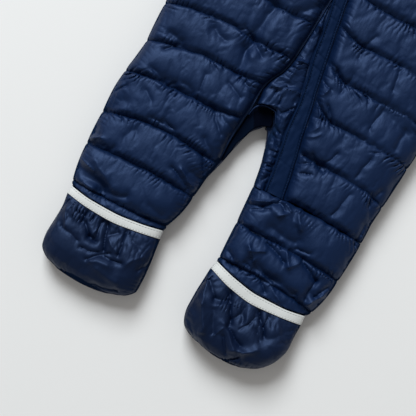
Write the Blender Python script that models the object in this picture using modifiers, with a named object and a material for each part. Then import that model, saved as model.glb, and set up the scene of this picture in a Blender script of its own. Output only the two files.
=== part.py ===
"""Baby snowsuit with closed feet, size 62/68, laid flat on its back.

Two padded layers lie on each other. The back layer is flat underneath and
plain inside. The front layer is quilted in cross channels about 41 mm apart,
and its puffs, gathers and folds stand up from a plain inside. A diagonal zip
runs from the left leg to the neck under a smooth flap. Right and left are the
wearer's: the wearer's right is at -X, the head at +Y.

Tables give pattern sizes in millimetres, from the crotch at (0, 0).
"""
import math

import bpy
import bmesh
import numpy as np

# ---------------------------------------------------------------- sizes (mm)
MM = 0.001
CENTRE_X = 7.5            # centre line of the body, from the crotch point
TOE_Y = -233.0            # lowest point, the toe of the left foot
COLLAR_Y = 415.0          # highest point, the top of the collar
CENTRE_Y = (TOE_Y + COLLAR_Y) / 2

LAYER = 12.0              # top of the back layer, where the front one lies
GAP = 0.3                 # between pieces that touch
EDGE = 3.0                # height of an open edge above the layer line
SEAM = 9.0                # height of an edge that is sewn to a neighbour
VALLEY = 9.0              # height of a stitched line
ANKLE_VALLEY = 13.5       # height of the leg's end beside the ankle tape
LEG_END = 0.3             # how full the strip beside the tape is
PUFF = 22.0               # height of a full channel
INNER_VALLEY = 9.4        # and the same beside the zip
INNER_PUFF = 12.5
ROUND_OPEN = 26.0         # how far in an open edge rounds up
ROUND_SEAM = 11.0         # how far in a sewn edge rounds up
SCALLOP = 0.7             # how far a full channel swells the outline
GATHERS = 6               # gathers below each stitched line
GATHER_HEIGHT = 1.3
CHANNEL_STEPS = (0.0, 0.14, 0.5, 0.86)

ZIP_HALF = 3.0
ZIP_TOP = 7.5
FLAP_LIFT = 9.5           # underside of the zip flap above the layer line
FLAP_THICK = 2.2
TAPE_THICK = 1.2
GUSSET_EDGE = 4.0         # height of the crotch gusset at its edges
GUSSET_TOP = 4.8          # and between them
RIM_DEPTH = 4.0           # depth of a lower wall at an open edge
RIM_ROUND = 10.0          # how far in it rounds down to the floor
TOE_DEPTHS = [10.5, 7.0, RIM_DEPTH]       # of a sole, towards the toe
FRONT_COLUMNS = 24        # mesh columns across a front panel
FOOT_COLUMNS = 22         # and across a foot
FOOT_GATHERS = 8          # gathers below the ankle tape
FOOT_GATHER_HEIGHT = 1.6
FOOT_GATHER_PLACE = (1.5, 0.8)    # row of the foot where they are highest, and reach
COLLAR_HALF = 51.0
COLLAR_VALLEY = 9.0
COLLAR_PUFF = 14.0

PIT_Q = 10.45             # rows of the body: armpit,
NECK_Q = 12.7             # centre of the neck seam,
SHOULDER_Q = 14.0         # and shoulder seam
CURVE_STEPS = (PIT_Q, 10.62, 10.73, 11.34, 11.67, NECK_Q, 13.33, 13.67)
PIT_Y = 240.0
NECK_Y = 372.0            # where the neck seam meets the shoulder
NECK_HALF = 55.0
FRONT_DROP = 37.0         # how far the neck seam drops at the centre
BACK_DROP = 10.0

COLLECTION = "baby_snowsuit"

# The zip runs from the left leg to the neck: place and half width of its flap.
ZIP_LINE = (
    # y,     x,    half_width
    (-64.0, 45.5, 10.2),
    (-30.0, 41.0, 9.4),
    (0.0, 35.5, 8.8),
    (30.0, 32.5, 7.2),
    (54.0, 27.8, 6.8),
    (77.0, 24.0, 7.4),
    (100.0, 20.8, 6.8),
    (138.0, 15.0, 7.0),
    (186.0, 10.5, 7.0),
    (227.0, 8.3, 7.0),
    (267.0, 7.5, 7.0),
    (300.0, 7.5, 7.0),
    (COLLAR_Y, 7.5, 7.0),
)

# Centre front seam between the right front and the piece inside the zip.
RISE_SEAM = (
    # y,    x
    (6.0, -13.4),
    (20.0, -12.9),
    (30.0, -11.2),
    (40.0, -7.0),
    (50.0, -1.6),
    (64.0, 1.8),
    (84.0, 3.9),
    (104.0, 5.4),
    (120.0, 6.6),
    (140.0, 8.2),
)

# Colours: linear RGB, roughness
NAVY = (0.006, 0.018, 0.062, 0.42)
NAVY_FLAT = (0.005, 0.014, 0.048, 0.62)
NAVY_DARK = (0.003, 0.007, 0.024, 0.70)
PALE_TAPE = (0.66, 0.68, 0.67, 0.45)
ZIP_BLACK = (0.012, 0.014, 0.022, 0.55)


# --------------------------------------------------------------- small maths
def slopes(knots, values):
    """Slopes at the knots of a smooth curve that never swings past its values."""
    wide = np.diff(knots).reshape((-1,) + (1,) * (values.ndim - 1))
    rise = np.diff(values, axis=0) / wide
    if len(knots) == 2:
        return np.concatenate((rise, rise), axis=0)
    before, after = rise[:-1], rise[1:]
    share = (wide[:-1] + 2 * wide[1:]) / (3 * (wide[:-1] + wide[1:]))
    same = before * after > 0
    blend = np.where(same, share * after + (1 - share) * before, 1.0)
    middle = np.where(same, before * after / blend, 0.0)
    return np.concatenate((rise[:1], middle, rise[-1:]), axis=0)


def smooth(knots, values, at):
    """Smooth curve through values at rising knots, read at the places at."""
    knots = np.asarray(knots, float)
    values = np.asarray(values, float)
    slope = slopes(knots, values)
    at = np.clip(np.asarray(at, float), knots[0], knots[-1])
    left = np.clip(np.searchsorted(knots, at, side="right") - 1, 0, len(knots) - 2)
    step = knots[left + 1] - knots[left]
    t = (at - knots[left]) / step
    shape = t.shape + (1,) * (values.ndim - 1)
    t = t.reshape(shape)
    step = step.reshape(shape)
    t2 = t * t
    t3 = t2 * t
    return ((2 * t3 - 3 * t2 + 1) * values[left] + (t3 - 2 * t2 + t) * step * slope[left]
            + (3 * t2 - 2 * t3) * values[left + 1] + (t3 - t2) * step * slope[left + 1])


def arc(distance):
    """Quarter-circle rise from 0 at an edge to 1 at a distance of 1 or more."""
    return np.sqrt(np.clip(1 - (1 - np.clip(distance, 0, 1)) ** 2, 0, 1))


# How full a channel is from its lower stitched line (0) to its upper one (1):
# the filling lies against the lower line, and the wall slopes down to the upper.
FILL = (
    # t,    share
    (0.0, 0.0), (0.03, 0.42), (0.08, 0.74), (0.16, 0.93), (0.26, 1.0), (0.4, 0.97),
    (0.6, 0.88), (0.8, 0.76), (0.9, 0.65), (0.95, 0.5), (0.98, 0.3), (1.0, 0.0),
)


def plump(q):
    """How full a channel is at place q, where whole numbers are stitched lines."""
    return smooth([r[0] for r in FILL], [r[1] for r in FILL], q - np.floor(q))


def lobe(q):
    """How far a channel swells the outline at place q."""
    t = q - np.floor(q)
    return np.clip(1 - (2 * t - 1) ** 2, 0, 1) ** 0.7


def zip_x(y):
    return float(smooth([r[0] for r in ZIP_LINE], [r[1] for r in ZIP_LINE], [y])[0])


def rise_x(y):
    return float(smooth([r[0] for r in RISE_SEAM], [r[1] for r in RISE_SEAM], [y])[0])


def flap_half(y):
    return float(smooth([r[0] for r in ZIP_LINE], [r[2] for r in ZIP_LINE], [y])[0])


def shelf(y):
    """Width of the flat edge that a front panel has under the zip flap."""
    return flap_half(y) + 0.8 - ZIP_HALF


def armhole(f):
    """Armhole seam on the wearer's right, f = 0 at the armpit, 1 at the shoulder."""
    pit, bend, tip = (-140.5, 240.0), (-110.0, 275.0), (-121.0, 351.0)
    return tuple((1 - f) ** 2 * a + 2 * f * (1 - f) * b + f * f * c
                 for a, b, c in zip(pit, bend, tip))


def neckline(w, drop):
    """Neck seam on the wearer's right, w = 0 at the centre line, 1 at the shoulder."""
    return (CENTRE_X - NECK_HALF * w, NECK_Y - drop * (1 - w * w))


def mirror_x(x):
    return 2 * CENTRE_X - x


# --------------------------------------------------------------- pattern rows
ROW = ("q", "x_out", "y_out", "y_1", "y_2", "y_3", "x_in", "y_in", "h_out", "h_in", "shelf")


def rows_from(table):
    """Rows of a table as dictionaries with the column names of ROW."""
    return [dict(zip(ROW, line)) for line in table]


def armhole_place(q):
    """Place f on the armhole of the body's row q."""
    return float(np.interp(q, (PIT_Q, 11.0, 12.0, 13.0, SHOULDER_Q),
                           (0.0, 0.35, 0.69, 0.92, 1.0)))


def neck_place(q):
    """Place w on the neck seam of the body's row q."""
    return (q - NECK_Q) / (SHOULDER_Q - NECK_Q)


def neck_rows(side, drop=FRONT_DROP):
    """Rows above the armpit: armhole outside, centre line and neck seam inside."""
    rows = []
    for q in (10.7, 11.0, 11.5, 12.0, 12.4, 12.7, 13.0, 13.25, 13.5, 13.75, 14.0):
        x_out, y_out = armhole(armhole_place(q))
        if q <= NECK_Q:
            x_in, h_in, ledge = CENTRE_X - ZIP_HALF - GAP, SEAM, shelf(300)
            y_in = PIT_Y + 7 + (NECK_Y - drop - PIT_Y - 7) * (q - PIT_Q) / (NECK_Q - PIT_Q)
        else:
            x_in, y_in = neckline(neck_place(q), drop)
            h_in, ledge = SEAM, 2.0
        if side > 0:
            x_out, x_in = mirror_x(x_out), mirror_x(x_in)
        quarter = (y_in - y_out) / 4
        bow = 1.5 if q < 13.6 else 0.0
        rows.append(dict(q=q, x_out=x_out, y_out=y_out, y_1=y_out + quarter + bow,
                         y_2=y_out + 2 * quarter + bow, y_3=y_out + 3 * quarter + bow,
                         x_in=x_in, y_in=y_in, h_out=SEAM, h_in=h_in, shelf=ledge))
    return rows


def place_edges(points, places, side, drop, centre):
    """Put the ends of the upper rows exactly on the armhole and the neck seam.

    centre gives the x of the centre edge below the neck, or None to leave it.
    """
    for row, q in zip(points, places):
        if q >= PIT_Q:
            row[0] = armhole(armhole_place(q))
            if side > 0:
                row[0, 0] = mirror_x(row[0, 0])
        if q > NECK_Q:
            row[-1] = neckline(neck_place(q), drop)
            if side > 0:
                row[-1, 0] = mirror_x(row[-1, 0])
        x = centre(q, row[-1, 1])
        if x is not None:
            row[-1, 0] = x if q <= NECK_Q else side * max(side * x, side * row[-1, 0])


# Front of the right leg and body, from the ankle up to the armpit. Whole
# numbers of q are stitched lines. y_1 to y_3 are the line's heights at a
# quarter, half and three quarters of the way from the outer edge to the inner.
FRONT_RIGHT = (
    (0.0, -136.0, -147.0, -150.6, -151.4, -149.2, -36.0, -145.0, 3.0, 3.0, 2.0),
    (1.0, -138.3, -142.0, -143.2, -143.0, -142.2, -35.0, -139.6, 3.0, 3.0, 2.0),
    (1.5, -141.5, -122.0, -121.5, -121.0, -120.5, -28.5, -120.5, 3.0, 3.0, 2.0),
    (2.0, -143.0, -103.0, -101.0, -99.8, -100.5, -25.0, -102.0, 3.0, 3.0, 2.0),
    (2.5, -143.3, -85.5, -81.0, -78.5, -79.5, -23.0, -82.0, 3.0, 3.0, 2.0),
    (3.0, -143.6, -68.0, -60.5, -57.2, -59.2, -18.2, -62.0, 3.0, 6.0, 2.0),
    (3.5, -144.0, -45.0, -39.0, -36.5, -37.5, -17.9, -37.0, 3.0, 9.0, 2.0),
    (4.0, -142.2, -21.0, -17.0, -15.4, -15.6, -15.4, -10.5, 3.0, 9.0, 2.0),
    (4.5, -139.0, -3.0, 3.0, 6.0, 5.0, -13.3, 7.0, 3.0, 9.0, 2.0),
    (5.0, -137.2, 15.0, 22.0, 26.6, 25.8, -12.0, 29.0, 3.0, 9.0, 2.0),
    (5.5, -137.6, 36.0, 43.0, 46.0, 44.5, -3.2, 47.0, 3.0, 9.0, 2.0),
    (6.0, -138.0, 56.0, 63.0, 65.5, 62.5, 1.4, 64.0, 3.0, 9.0, 2.0),
    (7.0, -138.4, 97.0, 103.0, 105.0, 102.5, 5.0, 104.0, 3.0, 9.0, 2.0),
    (7.8, -138.8, 131.0, 136.0, 138.0, 137.0, 7.6, 137.0, 3.0, 9.0, 2.5),
    (8.0, -139.0, 139.0, 144.0, 146.0, 146.0, 10.7, 146.0, 3.0, 9.0, 4.8),
    (9.0, -139.5, 180.0, 185.5, 187.0, 187.0, 7.1, 187.0, 3.0, 9.0, 4.8),
    (10.0, -140.3, 221.0, 226.0, 227.5, 227.5, 5.0, 227.5, 3.0, 9.0, 4.8),
    (10.45, -140.5, 240.0, 245.0, 246.5, 246.5, 4.6, 246.5, 6.0, 9.0, 4.8),
)

# Front of the body left of the zip, from the seam below the zip up.
FRONT_LEFT_OUTER = (
    (3.0, 145.0, -65.8, -64.2, -62.8, -61.8, 48.8, -63.8, 3.0, 9.0, 8.0),
    (3.5, 144.6, -46.0, -42.0, -40.5, -40.5, 46.6, -40.0, 3.0, 9.0, 7.6),
    (4.0, 147.0, -25.0, -19.0, -17.0, -16.4, 41.7, -14.0, 3.0, 9.0, 7.6),
    (4.5, 149.0, -2.0, 2.0, 3.5, 5.0, 37.0, 14.0, 3.0, 9.0, 7.2),
    (5.0, 151.5, 21.0, 23.6, 24.4, 25.2, 33.9, 42.0, 3.0, 9.0, 6.6),
    (5.5, 153.0, 40.0, 44.0, 45.0, 46.0, 30.2, 60.0, 3.0, 9.0, 6.2),
    (6.0, 154.0, 60.0, 65.0, 65.6, 66.6, 27.0, 78.0, 3.0, 9.0, 6.4),
    (7.0, 154.5, 101.0, 105.0, 106.2, 106.0, 21.7, 117.0, 3.0, 9.0, 5.8),
    (8.0, 154.6, 140.0, 144.0, 146.2, 147.0, 16.6, 154.0, 3.0, 9.0, 5.6),
    (9.0, 154.8, 180.0, 185.5, 187.0, 187.5, 13.5, 191.0, 3.0, 9.0, 5.2),
    (10.0, 155.3, 221.0, 226.0, 227.5, 227.5, 11.5, 229.0, 3.0, 9.0, 4.8),
    (10.45, 155.5, 240.0, 245.0, 246.5, 246.5, 11.0, 247.0, 6.0, 9.0, 4.8),
)

# Front of the left leg below the end of the zip.
FRONT_LEFT_LOWER = (
    (0.0, 129.0, -155.0, -158.0, -158.3, -154.2, 26.6, -147.0, 3.0, 3.0, 2.0),
    (1.0, 132.6, -149.5, -145.2, -143.4, -142.4, 27.0, -142.6, 3.0, 3.0, 2.0),
    (1.5, 138.5, -130.0, -126.5, -124.5, -123.5, 26.8, -123.5, 3.0, 3.0, 2.0),
    (2.0, 141.6, -110.0, -107.0, -105.6, -104.6, 26.2, -104.0, 3.0, 3.0, 2.0),
    (2.5, 143.3, -88.0, -85.6, -84.4, -84.2, 25.6, -83.0, 3.0, 3.0, 2.0),
    (3.0, 145.0, -66.2, -64.6, -63.3, -64.2, 24.2, -64.8, 3.0, 3.75, 2.0),
)

# Front of the left leg between the centre front seam and the zip. Its inner
# edge in this table is the zip.
FRONT_LEFT_INNER = (
    (3.0, 24.3, -64.2, -64.2, -64.2, -64.2, 42.2, -64.2, 3.0, 9.0, 7.8),
    (3.5, 23.0, -50.0, -49.8, -49.2, -48.6, 40.1, -48.0, 3.0, 9.0, 7.4),
    (4.0, 21.2, -40.0, -39.4, -38.6, -37.4, 38.6, -36.0, 3.0, 9.0, 7.2),
    (4.3, 15.4, -14.0, -13.4, -12.6, -11.4, 34.0, -10.0, 4.5, 9.0, 6.8),
    (4.5, 15.0, -3.0, -2.4, -1.4, -0.6, 32.2, 0.0, 6.0, 9.0, 6.6),
    (4.6, 11.2, 5.8, 6.4, 7.0, 7.6, 31.2, 8.0, 7.5, 9.0, 6.0),
    (4.7, 6.8, 12.8, 13.2, 13.8, 14.4, 30.6, 15.0, 8.25, 9.0, 5.6),
    (4.8, -1.0, 13.2, 14.8, 17.0, 19.6, 29.8, 22.0, 9.0, 9.0, 5.4),
    (4.9, -10.2, 9.0, 13.0, 18.4, 24.0, 29.0, 29.0, 9.0, 9.0, 5.0),
    (5.0, -11.2, 29.0, 31.6, 34.2, 36.6, 28.0, 38.0, 9.0, 9.0, 4.8),
    (5.5, -2.4, 47.0, 48.6, 50.0, 51.6, 25.2, 53.0, 9.0, 9.0, 4.8),
    (6.0, 2.2, 64.0, 65.0, 66.0, 67.0, 22.1, 68.0, 9.0, 9.0, 5.4),
    (7.0, 5.8, 104.0, 104.2, 104.4, 104.6, 16.6, 105.0, 9.0, 9.0, 4.9),
    (7.4, 7.0, 120.0, 120.0, 120.0, 120.0, 14.6, 120.0, 9.0, 9.0, 5.2),
    (7.75, 8.4, 135.0, 135.0, 135.0, 135.0, 12.3, 135.0, 9.0, 9.0, 3.75),
)

# Strip that turns down at the crotch, from the right inseam to the left leg.
CROTCH_GUSSET = (
    (0.0, -17.0, -56.0, -56.0, -56.0, -56.0, -14.8, -56.0, 4.0, 4.0, 0.6),
    (0.2, -17.4, -46.0, -46.0, -46.0, -46.0, -12.2, -46.0, 4.0, 4.0, 0.8),
    (0.4, -17.1, -36.0, -35.8, -35.5, -35.3, -10.6, -35.0, 4.0, 4.0, 1.0),
    (0.6, -16.2, -26.0, -25.8, -25.5, -25.3, -6.5, -25.0, 4.0, 4.0, 1.2),
    (0.8, -15.0, -17.0, -16.6, -16.0, -15.4, -2.8, -15.0, 4.0, 4.0, 1.2),
    (1.0, -14.2, -8.0, -8.0, -8.0, -7.8, 4.0, -7.6, 4.0, 4.0, 1.2),
    (1.2, -13.0, -1.0, -1.8, -2.6, -3.2, 12.4, -4.0, 4.0, 4.0, 1.2),
    (1.4, -12.4, 4.2, 3.4, 2.6, 1.4, 12.2, 0.2, 4.0, 4.0, 1.2),
    (1.6, -9.6, 6.2, 6.2, 6.0, 5.4, 9.4, 4.8, 4.0, 4.0, 1.2),
    (1.8, -2.0, 10.2, 10.8, 11.2, 11.2, 5.6, 11.0, 4.0, 4.0, 1.0),
)

# Foot flaps: q runs from the taped top edge (0 to 1) to the toe. Here the
# height columns are the open edge and h_mid, the height in the middle.
FOOT_ROW = ("q", "x_out", "y_out", "y_1", "y_2", "y_3", "x_in", "y_in", "h_mid")
FOOT_TOP_RIGHT = (
    (0.0, -136.4, -147.7, -151.2, -152.0, -149.8, -35.4, -145.6, 14.0),
    (1.0, -137.6, -155.8, -159.6, -161.0, -158.4, -34.6, -154.4, 14.6),
    (2.0, -136.2, -170.0, -174.0, -175.5, -173.0, -33.2, -167.0, 19.0),
    (3.0, -137.0, -185.0, -190.0, -192.0, -189.0, -31.6, -182.0, 21.0),
    (4.0, -138.2, -200.0, -206.0, -208.0, -205.0, -30.8, -198.0, 21.0),
    (5.0, -136.6, -212.5, -217.0, -219.0, -216.5, -31.0, -210.5, 18.0),
    (6.0, -128.0, -221.6, -224.6, -225.6, -223.6, -38.0, -219.6, 12.5),
    (7.0, -112.0, -227.6, -229.4, -230.0, -229.4, -58.0, -227.4, 5.0),
)
FOOT_TOP_LEFT = (
    (0.0, 129.3, -155.7, -158.7, -158.9, -154.9, 26.2, -147.6, 14.0),
    (1.0, 129.8, -165.4, -168.0, -169.4, -165.2, 24.0, -156.6, 14.6),
    (2.0, 129.4, -178.0, -182.5, -183.6, -180.0, 22.6, -171.0, 20.0),
    (3.0, 129.8, -191.5, -197.0, -199.0, -196.0, 21.4, -186.0, 23.5),
    (4.0, 126.0, -205.0, -211.0, -213.0, -210.5, 21.0, -202.0, 24.0),
    (5.0, 119.0, -216.4, -220.5, -222.6, -221.5, 24.6, -216.5, 21.5),
    (6.0, 108.5, -225.4, -228.0, -228.8, -227.8, 36.6, -225.2, 16.0),
    (7.0, 95.0, -231.2, -232.6, TOE_Y, -232.4, 56.0, -230.8, 6.0),
)

# Outlines of the lower layer. Its inner edge is the inseam and, above the
# crotch, the centre back seam.
BACK_RIGHT_LEG = (
    # q,     x_out,  y_out,  x_in,  y_in
    (0.0, -136.4, -152.2, -35.8, -151.0),
    (0.3, -137.4, -146.0, -36.0, -145.0),
    (1.0, -138.3, -142.0, -35.0, -139.6),
    (1.5, -141.5, -122.0, -28.5, -120.5),
    (2.0, -143.0, -103.0, -25.0, -102.0),
    (2.5, -143.3, -85.5, -23.0, -82.0),
    (3.0, -143.6, -68.0, -17.0, -64.0),
    (3.5, -144.0, -45.0, -11.4, -40.0),
    (4.0, -142.2, -21.0, -4.0, -18.0),
    (4.3, -140.5, -10.0, 4.0, -8.2),
    (4.5, -139.0, -3.0, 7.3, -3.6),
)
BACK_LEFT_LEG = (
    (0.0, 128.6, -157.6, 26.6, -152.0),
    (0.3, 130.4, -154.0, 26.8, -147.0),
    (1.0, 132.6, -149.5, 27.0, -142.6),
    (1.5, 138.5, -130.0, 26.8, -123.5),
    (2.0, 141.6, -110.0, 26.2, -104.0),
    (2.5, 143.3, -88.0, 25.6, -83.0),
    (3.0, 145.0, -66.2, 24.2, -64.8),
    (3.5, 144.6, -46.0, 21.6, -44.0),
    (4.0, 147.0, -25.0, 16.6, -25.0),
    (4.3, 148.0, -13.0, 12.0, -11.0),
    (4.5, 149.0, -2.0, 7.9, -4.4),
)

# Sleeve, along its axis from the armhole: s from the armhole's middle towards
# the cuff, up and low the half widths on the shoulder and the underarm side.
SLEEVE_TURN = 48.0        # degrees between the sleeve and the body's length
SLEEVE_START = (-129.5, 296.0)
SLEEVE = (
    # q,   s_up,   up,   s_low,  low
    (1.0, 0.0, 50.0, 62.0, -37.0),
    (2.0, 42.0, 51.0, 86.0, -38.5),
    (3.0, 84.0, 48.0, 110.0, -38.5),
    (4.0, 124.0, 43.5, 135.0, -38.5),
    (5.0, 160.0, 40.0, 160.0, -38.0),
)
CUFF = (
    # s,   half_width, half_height
    (160.4, 35.5, 8.6),
    (166.0, 35.0, 9.2),
    (180.0, 34.5, 9.2),
    (186.0, 34.0, 8.2),
)
CUFF_SLOT = (2.6, 0.9)    # the cuff's inside: less in width, and half height
SLEEVE_VALLEY = 8.0
SLEEVE_PUFF = 20.0
CUFF_OFFSET = 1.0         # middle of the cuff, on the shoulder side of the axis

# Largest folds of the front layer: a ridge (+) or a trough (-) along a line.
FOLDS = (
    # x_0,   y_0,   x_1,   y_1,  height, width
    (-39.0, 104.0, -45.0, 52.0, -5.0, 6.0),
    (-28.0, 100.0, -33.0, 56.0, 2.5, 7.0),
    (-45.0, 52.0, -43.0, 24.0, -3.0, 6.0),
    (-14.0, 105.0, 2.0, 124.0, -3.0, 5.0),
    (55.0, -131.0, 84.0, -141.0, -5.0, 5.0),
    (46.0, -122.0, 66.0, -134.0, 2.5, 7.0),
    (108.0, -141.0, 124.0, -150.0, -3.0, 5.0),
    (128.0, 112.0, 131.0, 88.0, -2.0, 6.0),
    (-118.0, -142.0, -96.0, -112.0, -2.0, 7.0),
)


# ------------------------------------------------------------- mesh of a wall
def fold_height(x, y):
    """Height that the large folds add at x, y."""
    total = np.zeros_like(x)
    for x_0, y_0, x_1, y_1, height, width in FOLDS:
        along = np.array((x_1 - x_0, y_1 - y_0))
        length = np.hypot(*along)
        along = along / length
        t = np.clip((x - x_0) * along[0] + (y - y_0) * along[1], 0, length)
        away = np.hypot(x - x_0 - t * along[0], y - y_0 - t * along[1])
        total += height * np.exp(-(away / width) ** 2)
    return total


def row_points(row, columns):
    """Points of one row, from the outer edge to the inner one."""
    width = math.hypot(row["x_in"] - row["x_out"], row["y_in"] - row["y_out"])
    inside = 1 - row["shelf"] / width
    u = np.append(np.linspace(0, inside, columns - 1), 1.0)
    x = row["x_out"] + (row["x_in"] - row["x_out"]) * u
    heights = [row["y_out"], row["y_1"], row["y_2"], row["y_3"], row["y_in"]]
    return np.column_stack((x, smooth([0, 0.25, 0.5, 0.75, 1], heights, u)))


def channel_places(first, last, extra=CURVE_STEPS):
    """Places q of the mesh rows: the stitched lines and the steps between them."""
    places = [k + step for k in range(int(first), int(last) + 1) for step in CHANNEL_STEPS]
    places = sorted(set(places + list(extra)))
    inside = [q for q in places if first + 0.02 < q < last - 0.02]
    return np.array([first] + inside + [last])


def edge_distance(points):
    """Distance along each row from its first and from its last point."""
    step = np.linalg.norm(np.diff(points, axis=1), axis=2)
    start = np.concatenate((np.zeros((len(points), 1)), np.cumsum(step, axis=1)), axis=1)
    return start, start[:, -1:] - start


def swell(points, open_out, open_in, fullness):
    """Push open edges outwards where a channel is full, so the outline scallops."""
    start, end = edge_distance(points)
    first = points[:, :1] - points[:, 1:2]
    last = points[:, -1:] - points[:, -2:-1]
    first = first / np.linalg.norm(first, axis=2, keepdims=True)
    last = last / np.linalg.norm(last, axis=2, keepdims=True)
    near_start = (fullness * open_out)[:, None] * np.clip(1 - start / 20, 0, 1)
    near_end = (fullness * open_in)[:, None] * np.clip(1 - end / 20, 0, 1)
    return points + SCALLOP * (near_start[..., None] * first + near_end[..., None] * last)


def openness(height):
    """1 where an edge is open, 0 where it is sewn to a neighbour."""
    return np.clip((SEAM - height) / (SEAM - EDGE), 0, 1)


def quilted_heights(points, places, h_out, h_in, valley, puff, gathers, ledge=True,
                    ankle=ANKLE_VALLEY):
    """Height of a quilted wall above the layer line, at each point.

    With a ledge, a sewn inner edge stays flat as far as the last column but one.
    """
    start, end = edge_distance(points)
    flat = end[:, -2:-1] * (1 - openness(h_in))[:, None] if ledge else 0
    f = start / (start + end)
    round_out = ROUND_SEAM + (ROUND_OPEN - ROUND_SEAM) * openness(h_out)
    round_in = ROUND_SEAM + (ROUND_OPEN - ROUND_SEAM) * openness(h_in)
    width = (start + end)[:, 0]
    round_out = np.minimum(round_out, width * 0.45)[:, None]
    round_in = np.minimum(round_in, width * 0.45)[:, None]
    crown = arc(start / round_out) * arc((end - flat) / round_in)
    base = h_out[:, None] * (1 - f) + h_in[:, None] * f
    low = valley + (ankle - valley) * np.clip(1 - places, 0, 1)
    share = plump(places) * np.where(places < 1, LEG_END, 1.0)
    full = (low + (puff - low) * share)[:, None]
    t = places - np.floor(places)
    gathered = np.exp(-((t - CHANNEL_STEPS[-1]) / 0.12) ** 2)[:, None]
    phase = (np.floor(places) * 0.38)[:, None]
    waves = GATHER_HEIGHT * gathered * np.cos(2 * math.pi * (gathers * f + phase))
    height = base + (full - base) * crown + waves * crown
    return height + fold_height(points[..., 0], points[..., 1]) * crown


def wall_mesh(name, points, height, up=1):
    """Closed wall: a shaped face over a plane one, both with the same outline.

    points: rows x columns x 2, height: rows x columns, from the layer line.
    up is 1 for a wall that lies on the layer line and -1 for one below it.
    """
    rows, columns = height.shape
    plane = LAYER + up * GAP / 2
    mesh = bmesh.new()
    shaped = [[mesh.verts.new(((p[0] - CENTRE_X) * MM, (p[1] - CENTRE_Y) * MM,
                               (LAYER + up * h) * MM))
               for p, h in zip(points[r], height[r])] for r in range(rows)]

    def flat(r, c):
        x, y = points[r, c]
        return mesh.verts.new(((x - CENTRE_X) * MM, (y - CENTRE_Y) * MM, plane * MM))

    low_first = [flat(0, c) for c in range(columns)]
    low_last = [flat(rows - 1, c) for c in range(columns)]
    low_start = [low_first[0]] + [flat(r, 0) for r in range(1, rows - 1)] + [low_last[0]]
    low_end = ([low_first[-1]] + [flat(r, columns - 1) for r in range(1, rows - 1)]
               + [low_last[-1]])

    for r in range(rows - 1):
        for c in range(columns - 1):
            mesh.faces.new((shaped[r][c], shaped[r][c + 1],
                            shaped[r + 1][c + 1], shaped[r + 1][c]))
        mesh.faces.new((shaped[r][0], shaped[r + 1][0], low_start[r + 1], low_start[r]))
        mesh.faces.new((shaped[r][-1], shaped[r + 1][-1], low_end[r + 1], low_end[r]))
        if 0 < r < rows - 2:
            mesh.faces.new((low_start[r], low_start[r + 1], low_end[r + 1], low_end[r]))
    for c in range(columns - 1):
        mesh.faces.new((shaped[0][c], shaped[0][c + 1], low_first[c + 1], low_first[c]))
        mesh.faces.new((shaped[-1][c], shaped[-1][c + 1], low_last[c + 1], low_last[c]))
    fan(mesh, low_first, low_start[1], low_end[1])
    fan(mesh, low_last, low_start[-2], low_end[-2])
    return finish_mesh(name, mesh)


def fan(mesh, line, near_start, near_end):
    """Triangles from a line of points to the two points across from its ends."""
    middle = len(line) // 2
    for c in range(len(line) - 1):
        mesh.faces.new((line[c], line[c + 1], near_start if c < middle else near_end))
    mesh.faces.new((line[middle], near_start, near_end))


def finish_mesh(name, mesh):
    """Turn a bmesh into an object whose faces point out."""
    bmesh.ops.recalc_face_normals(mesh, faces=mesh.faces)
    data = bpy.data.meshes.new(name)
    mesh.to_mesh(data)
    mesh.free()
    data.shade_smooth()
    data.set_sharp_from_angle(angle=math.radians(50))
    thing = bpy.data.objects.new(name, data)
    bpy.data.collections[COLLECTION].objects.link(thing)
    return thing


# ------------------------------------------------------------------ materials
def material(name, finish):
    red, green, blue, roughness = finish
    made = bpy.data.materials.get(name) or bpy.data.materials.new(name)
    made.use_nodes = True
    shader = made.node_tree.nodes["Principled BSDF"]
    shader.inputs["Base Color"].default_value = (red, green, blue, 1)
    shader.inputs["Roughness"].default_value = roughness
    shader.inputs["Metallic"].default_value = 0.0
    return made


def paint(thing, finish):
    thing.data.materials.append(material(thing.name + "_cloth", finish))
    return thing


# --------------------------------------------------------------------- pieces
def columns_of(rows, key, places):
    """A column of the rows, read at the places along them."""
    return np.interp(places, [r["q"] for r in rows], [r[key] for r in rows])


def beside_zip(side, first):
    """Edge next to the zip for place_edges, from row first up."""
    def edge(q, y):
        return zip_x(y) + side * (ZIP_HALF + GAP) if q >= first else None
    return edge


def follow_rise(points, places, column, side, first, last):
    """Put one side of the rows first to last on the centre front seam."""
    for row, q in zip(points, places):
        if first <= q <= last:
            row[column, 0] = rise_x(row[column, 1]) + side * 1.2 * GAP


def quilted_panel(name, rows, columns, side, zip_from, rise=None, valley=VALLEY,
                  puff=PUFF, gathers=GATHERS, extra=CURVE_STEPS):
    """A quilted front panel that lies on the layer line."""
    knots = [r["q"] for r in rows]
    places = channel_places(knots[0], knots[-1], extra)
    points = smooth(knots, [row_points(r, columns) for r in rows], places)
    h_out = columns_of(rows, "h_out", places)
    h_in = columns_of(rows, "h_in", places)
    points = swell(points, openness(h_out), openness(h_in), lobe(places))
    place_edges(points, places, side, FRONT_DROP, beside_zip(side, zip_from))
    if rise:
        follow_rise(points, places, *rise)
    height = quilted_heights(points, places, h_out, h_in, valley, puff, gathers)
    return paint(wall_mesh(name, points, height), NAVY)


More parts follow.
